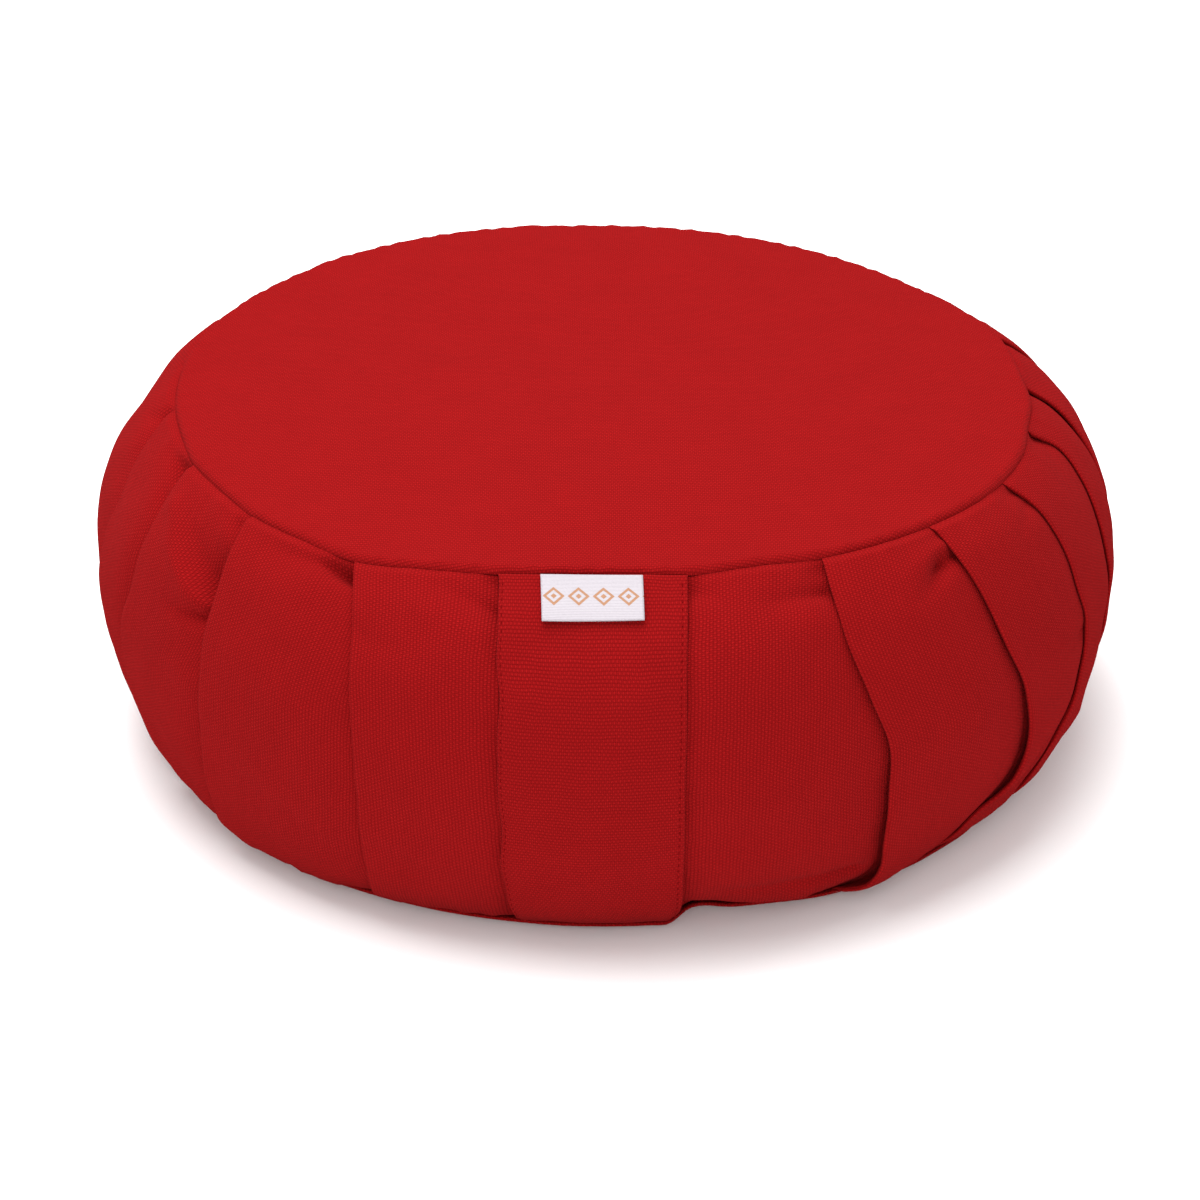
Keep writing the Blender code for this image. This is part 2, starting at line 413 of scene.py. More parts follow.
class FilledSide:
    """The shape that the filling gives the side, before the pleats' own relief."""

    # The shares over which the two seams' own shifts fade out
    SEAM_FADE = 0.34
    HEM_FADE = 0.22
    # The step that gives the outline's slope, and how many points measure its length
    SLOPE_STEP = 0.004
    LENGTH_STEPS = 401

    def __init__(self, sizes: CushionSizes) -> None:
        """Works out the outline from seam to hem.

        Args:
            sizes: The cushion's main sizes.
        """
        self.sizes = sizes
        self.knots = np.linspace(0, 1, len(OUTLINE))
        swell = sizes.belly_radius - sizes.seam_radius
        self.radii = np.array([sizes.seam_radius + swell * p.reach for p in OUTLINE])
        self.heights = np.array([sizes.seam_height * p.rise for p in OUTLINE])
        self.fine = np.linspace(0, 1, self.LENGTH_STEPS)
        radius, height = self.outline(self.fine)
        self.lengths = np.concatenate([[0], np.cumsum(np.hypot(np.diff(radius), np.diff(height)))])

    def outline(self, share: ndarray) -> tuple[ndarray, ndarray]:
        """Gives the outline's distance from the axis and its height at a share."""
        return smooth_through(self.knots, self.radii, share), smooth_through(self.knots, self.heights, share)

    def length(self, share: ndarray) -> ndarray:
        """Gives the length of cloth from the seam down to a share, in metres."""
        return np.interp(share, self.fine, self.lengths)

    def shift(self, plan: tuple[SeamPoint, ...], angle: ndarray) -> tuple[ndarray, ndarray]:
        """Gives how far a seam lies out and up from its nominal circle, in metres."""
        angles, out, up = zip(*plan)
        return smooth_round(angles, out, angle) * MM, smooth_round(angles, up, angle) * MM

    def place(self, angle: ndarray, share: ndarray, offset: ndarray) -> ndarray:
        """Places points on the side.

        Args:
            angle: Angles in degrees.
            share: Shares from seam to hem, of the same shape or one that broadcasts to it.
            offset: Distances out from the outline along its normal, in metres.

        Returns:
            The points, with x, y and z last.
        """
        radius, height = self.outline(share)
        r_after, z_after = self.outline(np.clip(share + self.SLOPE_STEP, 0, 1))
        r_before, z_before = self.outline(np.clip(share - self.SLOPE_STEP, 0, 1))
        run = np.hypot(r_after - r_before, z_after - z_before)
        out, up = self.shift(SEAM_PLAN, angle)
        fade = smooth_step(1 - share / self.SEAM_FADE)
        hem_out, hem_up = self.shift(HEM_PLAN, angle)
        hem_fade = smooth_step(1 - (1 - share) / self.HEM_FADE)
        radius = radius + out * fade + hem_out * hem_fade + offset * (z_before - z_after) / run
        height = height + up * fade + hem_up * hem_fade + offset * (r_after - r_before) / run
        return on_circle(np.radians(angle), radius, height)


# ---------------------------------------------------------------- the pleated side band


# The shares at which every edge's angles are given, and those of the overlap panel's two edges
EDGE_SHARES = (0.0, 0.12, 0.25, 0.4, 0.52, 0.64, 0.74, 0.84, 1.0)
OVERLAP_LEFT = (-13.3, -12.3, -11.5, -11.0, -10.9, -10.9, -10.9, -10.8, -10.6)
OVERLAP_RIGHT = (10.1, 9.4, 8.7, 8.3, 8.1, 8.2, 8.3, 8.5, 8.7)


def easy_edge(seam: float, belly: float, foot: float, hem: float) -> tuple[float, ...]:
    """Gives a gently bent edge's angles at EDGE_SHARES from its angles at four heights."""
    return tuple(smooth_through((0.0, 0.5, 0.75, 1.0), (seam, belly, foot, hem), np.array(EDGE_SHARES)))


class Pleat(NamedTuple):
    """A pleat: the angles of its folded edge at EDGE_SHARES, and its sizes.

    Attributes:
        edge: The angles.
        lift: How far the edge lifts off the panel before, in mm.
        roll: How thick its roll is, in mm.
        bulge: How much its face bulges, in mm.
        pucker: How deep the cloth puckers under its edge near the top seam, in mm.
        settle: The share at which the edge comes down again near the hem.
        tuck: How far the panel before sinks where it goes under the edge, in mm.
    """

    edge: tuple[float, ...]
    lift: float
    roll: float
    bulge: float
    pucker: float
    settle: float = 0.91
    tuck: float = 0.7


PLEATS = (
    Pleat((27.6, 27.0, 27.2, 28.9, 30.8, 31.0, 31.2, 31.7, 29.0), 2.7, 1.7, 1.4, 0.8, settle=0.945),
    Pleat((44.0, 44.6, 45.9, 47.6, 50.2, 51.8, 50.9, 46.8, 44.5), 2.8, 1.7, 1.6, 0.6, settle=0.79, tuck=0.5),
    Pleat((60.2, 61.8, 62.7, 63.3, 65.0, 65.4, 63.8, 60.8, 59.0), 0.3, 1.7, 1.4, 0.9, settle=0.80, tuck=0.2),
    Pleat((76.6, 79.0, 78.3, 76.9, 78.0, 78.2, 77.4, 76.4, 75.8), 0.3, 1.6, 1.6, 0.9, tuck=0.2),
    Pleat((92.0, 92.4, 91.8, 91.5, 93.0, 94.0, 94.0, 93.4, 92.5), 0.8, 1.6, 2.2, 0.6, tuck=0.2),
    Pleat(easy_edge(107.5, 109.6, 109.4, 107.2), 0.6, 1.6, 0.8, 1.2),
    Pleat(easy_edge(121.6, 123.0, 123.2, 121.9), 0.8, 1.7, 0.9, 1.4),
    Pleat(easy_edge(136.8, 139.6, 140.4, 138.0), 1.6, 2.0, 1.2, 2.2),
    Pleat(easy_edge(152.5, 154.4, 155.0, 153.4), 1.2, 1.8, 1.2, 1.8),
    Pleat(easy_edge(168.6, 170.4, 170.0, 169.0), 1.5, 1.9, 1.7, 2.4),
    Pleat(easy_edge(184.2, 186.8, 187.6, 185.0), 2.2, 2.0, 1.6, 1.6),
    Pleat(easy_edge(200.0, 201.6, 202.2, 201.2), 1.0, 1.8, 1.9, 1.4),
    Pleat(easy_edge(215.6, 218.0, 217.6, 216.2), 1.7, 1.9, 1.8, 2.2),
    Pleat(easy_edge(231.4, 232.6, 233.6, 232.0), 1.2, 1.8, 2.0, 1.6),
    Pleat(easy_edge(247.2, 248.8, 248.4, 247.8), 1.0, 1.7, 2.0, 1.4),
    Pleat(easy_edge(263.0, 263.9, 264.2, 263.4), 0.9, 1.6, 1.9, 1.4),
    Pleat((277.6, 281.0, 283.4, 283.4, 282.4, 281.4, 280.6, 280.0, 280.0), 0.9, 1.5, 1.8, 2.0, tuck=1.1),
    Pleat((294.8, 296.6, 297.0, 296.4, 294.4, 293.4, 293.0, 293.0, 293.2), 0.9, 1.5, 1.8, 1.4, tuck=1.2),
    Pleat((311.2, 312.2, 312.5, 312.2, 312.1, 311.4, 310.4, 309.6, 309.4), 1.0, 1.5, 1.7, 1.2, tuck=1.2),
    Pleat((328.7, 330.6, 331.9, 333.0, 333.5, 333.6, 333.4, 333.1, 331.8), 0.6, 1.5, 1.4, 2.6, tuck=0.8),
)


class Crease(NamedTuple):
    """A soft trough, or with a negative depth a ridge, across one panel from one place to another."""

    panel: int
    angle: float
    share: float
    to_angle: float
    to_share: float
    width: float
    depth: float


# Seen in the cloth at the front: angles in degrees, widths and depths in mm
CREASES = tuple(Crease(*row) for row in (
    (0, 26.4, 0.100, 20.0, 0.110, 4.0, 2.8), (0, 20.0, 0.110, 15.0, 0.110, 6.0, 0.8),
    (0, 10.4, 0.050, 14.5, 0.095, 4.5, 1.8), (0, 26.0, 0.190, 15.0, 0.185, 9.0, -0.9),
    (0, 29.0, 0.845, 13.0, 0.812, 3.0, 3.4), (0, 23.0, 0.905, 12.0, 0.890, 6.0, -2.2),
    (1, 44.8, 0.104, 40.6, 0.130, 2.8, 2.4), (1, 42.4, 0.116, 37.6, 0.190, 3.4, 4.2),
    (1, 31.5, 0.970, 38.0, 0.950, 9.0, -1.0), (1, 43.4, 0.070, 38.0, 0.105, 4.0, -1.5),
    (1, 42.5, 0.300, 38.0, 0.420, 9.0, 0.7),
    (2, 60.4, 0.100, 55.5, 0.160, 4.0, 1.0), (2, 64.0, 0.508, 61.5, 0.495, 2.2, 1.3),
    (2, 58.0, 0.775, 50.0, 0.840, 11.0, 3.6),
    (3, 59.5, 0.780, 63.0, 0.800, 9.0, 4.4), (3, 70.0, 0.760, 67.0, 0.800, 12.0, -2.0),
    (3, 77.0, 0.080, 72.0, 0.160, 4.0, 0.6),
    (5, 97.0, 0.170, 97.0, 0.300, 15.0, -1.8),
    (16, -81.6, 0.030, -86.0, 0.100, 3.6, 3.0),
    (17, -66.0, 0.052, -70.5, 0.036, 5.0, 6.5), (17, -64.4, 0.135, -69.0, 0.110, 4.5, 2.6),
    (17, -75.0, 0.300, -68.0, 0.480, 9.0, 1.0), (17, -70.0, 0.700, -76.0, 0.680, 16.0, 3.4),
    (17, -68.0, 0.810, -72.0, 0.800, 10.0, 1.6),
    (18, -48.8, 0.262, -57.0, 0.120, 9.0, 6.6), (18, -48.8, 0.190, -54.5, 0.080, 8.0, 3.4),
    (18, -61.0, 0.125, -53.0, 0.270, 5.0, -2.0), (18, -49.6, 0.316, -58.5, 0.210, 4.0, -3.2),
    (18, -48.4, 0.333, -54.5, 0.358, 2.7, 5.0), (18, -53.0, 0.300, -60.0, 0.260, 7.0, -1.0),
    (18, -63.0, 0.760, -56.0, 0.740, 14.0, 3.0), (18, -57.0, 0.815, -61.0, 0.810, 12.0, 2.0),
    (19, -31.0, 0.050, -35.5, 0.036, 3.0, 4.4), (19, -34.0, 0.038, -43.0, 0.060, 5.5, 2.0),
    (19, -36.0, 0.160, -44.0, 0.150, 9.0, -0.9), (19, -46.0, 0.930, -38.0, 0.930, 12.0, -1.6),
    (20, -12.4, 0.112, -19.5, 0.048, 3.8, 2.3), (20, -14.0, 0.175, -22.0, 0.115, 6.0, -0.9),
    (20, -30.0, 0.200, -24.0, 0.250, 5.0, 0.8),
))


@dataclass(frozen=True)
class SideBand:
    """The canvas band in knife pleats, filled: one closed mesh with its folds' layers.

    Attributes:
        side: The filled shape.
        rows: Rows from seam to hem.
        face_columns: Columns across one pleat's face.
        seat_columns: Columns behind the overlap panel.
        hidden_columns: Columns that go on under each folded edge.
        under_columns: Columns that come back below it.
        nose_columns: Columns round its roll.
        underlap: How far the cloth goes on under an edge.
        step: The least height of a fold over its neighbour.
        clearance: The least gap between a fold and the panel under it.
        least_nose: The least height of a fold's roll.
        lip_reach: How far an unlifted pleat's raised part reaches from its edge, in mm.
        first_bulge: How much the face of panel 0 bulges.
        seat_depth: How far the band sinks behind the overlap panel.
        seat_reach: How far from the overlap panel the band has risen again.
        sewn_length: How far from a seam the pleats have risen to their full height.
        sewn_relief: How much of their height is left in the seam.
        seam_groove: How deep the cloth is drawn in at the top seam.
        groove_width: How far down the cloth is drawn in.
        gather_height: How high the small waves along the seams are.
    """

    side: FilledSide
    rows: int = 116
    face_columns: int = 22
    seat_columns: int = 12
    hidden_columns: int = 3
    under_columns: int = 5
    nose_columns: int = 5
    underlap: float = 8.0 * MM
    step: float = 0.5 * MM
    clearance: float = 0.25 * MM
    least_nose: float = 0.8 * MM
    lip_reach: float = 23.0
    first_bulge: float = 1.9 * MM
    seat_depth: float = 1.5 * MM
    seat_reach: float = 7.0 * MM
    sewn_length: float = 3.0 * MM
    sewn_relief: float = 0.30
    seam_groove: float = 0.15 * MM
    groove_width: float = 1.0 * MM
    gather_height: float = 0.4 * MM

    # How the lift of an edge grows down the side, and over how much of it the edge settles
    LIFT_SHARES = (0.0, 0.12, 0.25, 0.5, 0.66, 0.78, 1.0)
    LIFT_GROWTH = (0.0, 0.10, 0.18, 0.55, 0.93, 1.0, 1.0)
    SETTLE_SPAN = 0.12
    # How many mm further a pleat's raised part reaches for each mm of its lift, and how fast it falls off
    LIP_GAIN = 2.4
    LIP_POWER = 1.7
    # How full a face bulges, and from where across it the cloth sinks towards the next edge
    BULGE_POWER = 0.8
    TUCK_START = 0.72
    # How steep the sides of creases and puckers are, and what share of its depth a crease loses at its end
    CREASE_POWER = 1.5
    CREASE_FADE = 0.75
    # The pucker's middle and spread, as distances from the edge and down from the seam
    PUCKER_FROM_EDGE = (2 * MM, 4.5 * MM)
    PUCKER_DOWN = (4.5 * MM, 2.8 * MM)
    # How far the gathers reach from the top seam and the hem, and their two waves' lengths over 2 pi
    GATHER_FADE = (5 * MM, 7 * MM)
    GATHER_WAVES = (1.9 * MM, 1.23 * MM)
    # How the third cloth number grows from panel to panel, and the cloth's width behind the overlap panel
    CLOTH_APART = 0.37
    SEAT_CLOTH = 60 * MM
    # The round rings that close the band under the two panels: their shares of the seam's least radius, and
    # how far above its lowest point they lie
    UPPER_RINGS = (0.15, 0.5, 0.8, 0.975)
    UPPER_RISE = -3.5 * MM
    LOWER_RINGS = (0.97, 0.8, 0.5, 0.15)
    LOWER_RISE = -0.6 * MM

    def lift(self, pleat: Pleat, shares: ndarray) -> ndarray:
        """Gives how high a pleat's folded edge stands over the filled shape.

        Args:
            pleat: The pleat.
            shares: Shares down the side.

        Returns:
            Heights in metres.
        """
        rise = smooth_through(self.LIFT_SHARES, self.LIFT_GROWTH, shares)
        settled = smooth_step((shares - pleat.settle + self.SETTLE_SPAN / 2) / self.SETTLE_SPAN)
        return self.step + pleat.roll * MM / 2 + pleat.lift * MM * rise * (1 - settled)

    def lip(self, pleat: Pleat, shares: ndarray, x: ndarray) -> ndarray:
        """Gives the height of a pleat's raised part at a distance from its folded edge, in metres."""
        reach = (self.lip_reach + self.LIP_GAIN * pleat.lift) * MM
        return self.lift(pleat, shares) * np.clip(1 - x / reach, 0, 1) ** self.LIP_POWER

    def creases(self, panel: int, angle: ndarray, shares: ndarray) -> ndarray:
        """Adds up the creases of one panel.

        Args:
            panel: The panel's number.
            angle: Angles of its points.
            shares: Shares of its points.

        Returns:
            Heights in metres, mostly below 0.
        """
        total = np.zeros(angle.shape)
        around = self.side.sizes.belly_radius * math.pi / 180
        down = self.side.lengths[-1]
        turn = 360 if panel > len(PLEATS) // 2 else 0
        for crease in (c for c in CREASES if c.panel == panel):
            x, y = (angle - turn - crease.angle) * around, (shares - crease.share) * down
            run_x = (crease.to_angle - crease.angle) * around
            run_y = (crease.to_share - crease.share) * down
            along = np.clip((x * run_x + y * run_y) / (run_x**2 + run_y**2), 0, 1)
            away = np.hypot(x - run_x * along, y - run_y * along) / (crease.width * MM)
            total -= crease.depth * MM * (1 - self.CREASE_FADE * along) * bell(away, self.CREASE_POWER)
        return total

    def gathers(self, panel: int, x: ndarray, width: ndarray, down: ndarray) -> ndarray:
        """Gives the small waves that gathering leaves along both seams.

        Args:
            panel: The panel's number.
            x: Distances from the panel's own edge.
            width: The panel's width.
            down: Lengths of cloth below the top seam.

        Returns:
            Heights in metres.
        """
        top_fade, hem_fade = self.GATHER_FADE
        long, short = self.GATHER_WAVES
        near = np.exp(-down / top_fade) + np.exp(-(self.side.lengths[-1] - down) / hem_fade)
        wave = np.sin(x / long + 2.1 * panel) + 0.7 * np.sin(x / short + 1.3 * panel)
        return self.gather_height * near * wave * np.sin(np.pi * np.clip(x / width, 0, 1))

    def face(self, panel: int, start: ndarray, stop: ndarray, shares: ndarray) -> tuple:
        """Works out the outer face of a panel between two edges.

        Args:
            panel: The panel's number.
            start: The angle of its own edge in each row.
            stop: The angle of the next edge in each row.
            shares: The rows' shares.

        Returns:
            Angles, heights over the filled shape and distances from its own edge, rows by columns.
        """
        across = crowded(self.face_columns, 0.5)[None, :]
        rows = shares[:, None] + 0 * across
        down = self.side.length(rows)
        angle = start[:, None] + (stop - start)[:, None] * across
        width = np.radians(stop - start)[:, None] * self.side.outline(shares)[0][:, None]
        x = across * width
        to_edge = width - x
        swell = np.sin(np.pi * across) ** self.BULGE_POWER
        if panel:
            pleat = PLEATS[panel - 1]
            height = pleat.bulge * MM * swell + self.lip(pleat, rows, x)
        else:
            height = self.first_bulge * swell - self.seat_depth * (1 - smooth_step(x / self.seat_reach))
        if panel == len(PLEATS):
            height = height - self.seat_depth * smooth_step(1 - to_edge / self.seat_reach)
        else:
            edge_place, edge_spread = self.PUCKER_FROM_EDGE
            down_place, down_spread = self.PUCKER_DOWN
            tucked = smooth_step((across - self.TUCK_START) / (1 - self.TUCK_START))
            away = np.hypot((to_edge - edge_place) / edge_spread, (down - down_place) / down_spread)
            height = height - PLEATS[panel].tuck * MM * tucked
            height = height - PLEATS[panel].pucker * MM * bell(away, self.CREASE_POWER)
        height = height + self.creases(panel, angle, rows) + self.gathers(panel, x, width, down)
        return angle, height, x

    def fold(self, panel: int, edge: ndarray, shares: ndarray, height: ndarray, x: ndarray) -> tuple:
        """Works out the layers of a fold: the face goes on under it, turns back, and rounds its edge.

        Args:
            panel: The panel that the fold lies over.
            edge: The fold's angle in each row.
            shares: The rows' shares.
            height: The height of the panel's last column in each row.
            x: The panel's width in each row.

        Returns:
            Angles, heights and distances along the cloth, rows by columns.
        """
        pleat = PLEATS[panel]
        rows = shares[:, None]
        edge, height, x = edge[:, None], height[:, None], x[:, None]
        to_degrees = 180 / np.pi / self.side.outline(rows)[0]
        roll = pleat.roll * MM
        dent = self.creases(panel + 1, edge, rows)
        going = np.linspace(0.25, 1, self.hidden_columns)[None, :] * self.underlap
        hidden = (edge + going * to_degrees, height + 0 * going, x + going)
        coming = np.linspace(1, 0, self.under_columns)[None, :] * self.underlap
        under = np.maximum(self.lip(pleat, rows, coming) + dent - roll, height + self.clearance)
        beneath = (edge + coming * to_degrees, under, 0 * edge - coming - roll)
        turn = np.linspace(0, np.pi, self.nose_columns + 2)[None, 1:-1]
        low = under[:, -1:]
        top = np.maximum(self.lift(pleat, rows) + dent, low + self.least_nose)
        nose_angle = edge - np.sin(turn) * roll / 2 * to_degrees
        nose_height = (top + low) / 2 - np.cos(turn) * (top - low) / 2
        nose = (nose_angle, nose_height, 0 * edge - roll * (1 - turn / np.pi))
        return tuple(np.concatenate(parts, 1) for parts in zip(hidden, beneath, nose))

    def sheet_of_folds(self, shares: ndarray) -> tuple:
        """Goes once round the band: from the overlap panel over every face and fold, and behind it.

        Args:
            shares: The rows' shares.

        Returns:
            Angles, heights over the filled shape, distances along the cloth and a number for each panel's
            cloth, rows by columns.
        """
        edges = [smooth_through(EDGE_SHARES, pleat.edge, shares) for pleat in PLEATS]
        left = smooth_through(EDGE_SHARES, OVERLAP_LEFT, shares) + 360
        right = smooth_through(EDGE_SHARES, OVERLAP_RIGHT, shares)
        parts = []
        for panel, (start, stop) in enumerate(zip([right, *edges], [*edges, left])):
            angle, height, x = self.face(panel, start, stop, shares)
            parts.append((angle, height, x, np.full(x.shape, self.CLOTH_APART * panel)))
            if panel < len(PLEATS):
                layers = self.fold(panel, stop, shares, height[:, -1], x[:, -1])
                parts.append((*layers, np.full(layers[0].shape, self.CLOTH_APART * (panel + 1))))
        even = np.linspace(0, 1, self.seat_columns + 2)[None, 1:-1]
        seat = left[:, None] + (right + 360 - left)[:, None] * even
        across = self.SEAT_CLOTH * even + 0 * seat
        parts.append((seat, np.full(seat.shape, -self.seat_depth), across, 0 * seat))
        return tuple(np.concatenate(kind, 1) for kind in zip(*parts))

    def cap(self, edge_ring: ndarray, turn: ndarray, shares: tuple[float, ...], rise: float) -> list[ndarray]:
        """Makes round rings that close the band under a panel, inside its sewn edge.

        Args:
            edge_ring: The band's points at the seam.
            turn: The rings' angles, in radians.
            shares: The rings' sizes, as shares of the edge's least radius.
            rise: How far the rings lie above the edge's lowest point, in metres.

        Returns:
            The rings' points.
        """
        radius = np.hypot(edge_ring[:, 0], edge_ring[:, 1]).min()
        middle = (0, 0, edge_ring[:, 2].min() + rise)
        return [on_circle(turn, 1.0, 0.0) * (radius * share) + middle for share in shares]

    def build(self, material: Material) -> Object:
        """Builds the band.

        Args:
            material: The canvas.

        Returns:
            The band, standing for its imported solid.
        """
        shares = crowded(self.rows, 0.35)
        angle, height, across, apart = self.sheet_of_folds(shares)
        rows = shares[:, None]
        down = self.side.length(rows)
        up_from_hem = self.side.lengths[-1] - down
        near_seam = smooth_step(np.minimum(down, up_from_hem) / self.sewn_length)
        relief = self.sewn_relief + (1 - self.sewn_relief) * near_seam
        plain = self.side.place(angle, rows, np.zeros_like(height))
        slump = Unevenness(seed=11, waves=10, longest=140 * MM, shortest=55 * MM, height=0.9 * MM)
        soft = Unevenness(seed=12, waves=14, longest=34 * MM, shortest=15 * MM, height=0.22 * MM)
        height = (height + slump.on(plain) + soft.on(plain)) * relief
        height = height - self.seam_groove * bell(down / self.groove_width)
        body = self.side.place(angle, rows, height)
        cloth = in_space(down, across, apart)
        turn = np.radians(angle[0, 0] + 360 * np.arange(angle.shape[1]) / angle.shape[1])
        upper = self.cap(body[0], turn, self.UPPER_RINGS, self.UPPER_RISE)
        lower = self.cap(body[-1], turn, self.LOWER_RINGS, self.LOWER_RISE)
        rings = np.concatenate([np.stack(upper), body, np.stack(lower)])
        places = np.concatenate([cloth[:1]] * len(upper) + [cloth] + [cloth[-1:]] * len(lower))
        made = ringed_piece("pleated_side_band", rings, places, material)
        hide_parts("pleated_side")
        return made


# ---------------------------------------------------------------- the round panels


@dataclass(frozen=True)
class TopPanel:
    """The round top panel: crowned by the filling, its edge turned down into the seam.

    Attributes:
        side: The filled side.
        columns: Points round each ring.
        rings: Rings from the middle to the turned-down edge.
        edge_rings: Rings round the turned-down edge.
        back_rings: Rings across the underside.
        bevel: How far in from the seam the edge starts to turn down.
        drop: How far the edge turns down.
        swell: How far the panel stands above the seam just inside its edge.
        thickness: The closed sheet's thickness.
        lip_in: How far in from the seam the turned edge ends.
        lip_down: How far below its turn it ends.
        flat_edge: How far from the seam the panel's unevenness has risen.
        pucker_height: How high the small puckers along the seam are.
        pucker_reach: How far from the seam they reach.
    """

    side: FilledSide
    columns: int = 440
    rings: int = 72
    edge_rings: int = 8
    back_rings: int = 12
    bevel: float = 2.6 * MM
    drop: float = 2.8 * MM
    swell: float = 2.1 * MM
    thickness: float = 1.2 * MM
    lip_in: float = 0.5 * MM
    lip_down: float = 0.2 * MM
    flat_edge: float = 26 * MM
    pucker_height: float = 0.25 * MM
    pucker_reach: float = 6 * MM

    # About where the rings start near the middle, and where the underside's begin, as shares of the radius
    MIDDLE = 0.01
    BACK_EDGE = 0.985
    # How the rings are spread, how the crown falls off towards the seam, and the underside's share of it
    RING_POWER = 1.1
    CROWN_POWER = 2.2
    BACK_CROWN = 0.7
    # The third cloth number, which sets this piece's threads apart
    CLOTH_APART = 3.1

    def profile(self) -> tuple[ndarray, ...]:
        """Works out the closed sheet's section from the middle over the top, round the edge and back.

        Returns:
            Shares of the radius inside the bevel, distances outside it, heights above the seam, and lengths
            of cloth from the bevel's start.
        """
        crown = self.side.sizes.peak_height - self.side.sizes.seam_height
        over = np.sin(np.linspace(self.MIDDLE, 1, self.rings) * np.pi / 2) ** self.RING_POWER
        dome = self.swell + (crown - self.swell) * (1 - over**self.CROWN_POWER)
        turn = np.linspace(0, np.pi / 2, self.edge_rings + 1)[1:]
        edge_out = self.bevel * np.sin(turn)
        edge_up = self.swell - self.drop * (1 - np.cos(turn))
        back = np.linspace(self.BACK_EDGE, self.MIDDLE, self.back_rings)
        under = self.swell - self.drop - self.thickness * 0.5
        under = under + (crown - self.thickness) * (1 - back**2) * self.BACK_CROWN
        round_edge = self.bevel + self.drop
        parts = (
            (over, np.ones(len(turn)), [1.0], back),
            (0 * over, edge_out, [self.bevel - self.lip_in], 0 * back),
            (dome, edge_up, [self.swell - self.drop - self.lip_down], under),
            (0 * over, round_edge / 2 * turn, [round_edge], 0 * back),
        )
        return tuple(np.concatenate(part)[:, None] for part in parts)

    def build(self, material: Material) -> Object:
        """Builds the panel.

        Args:
            material: The canvas.

        Returns:
            The panel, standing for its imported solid.
        """
        sizes = self.side.sizes
        angle = np.linspace(0, 360, self.columns, endpoint=False)[None, :]
        turn = np.radians(angle)
        out, up = self.side.shift(SEAM_PLAN, angle)
        inside, outside, rise, along = self.profile()
        rim = sizes.seam_radius + out - self.bevel
        radius = inside * rim + outside
        flat = on_circle(turn, radius, sizes.seam_height + up * inside**4 + rise)
        dents = Unevenness(seed=21, waves=9, longest=230 * MM, shortest=90 * MM, height=0.75 * MM)
        ripples = Unevenness(seed=22, waves=12, longest=70 * MM, shortest=24 * MM, height=0.16 * MM)
        from_edge = sizes.seam_radius + out - radius
        swing = (dents.on(flat) + ripples.on(flat)) * smooth_step(from_edge / self.flat_edge)
        # Two runs of waves round the seam, 97 and 151 in a turn, the first unevenly spaced
        pucker = np.sin(turn * 97 + 2 * np.sin(turn * 7)) + 0.8 * np.sin(turn * 151 + 1)
        near = np.exp(-from_edge / self.pucker_reach) * smooth_step(from_edge / (1.5 * MM))
        flat[..., 2] += swing + self.pucker_height * pucker * near
        cloth = on_circle(turn, inside * rim + along, self.CLOTH_APART)
        made = ringed_piece("top_panel_canvas", flat, cloth, material)
        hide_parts("top_panel")
        return made


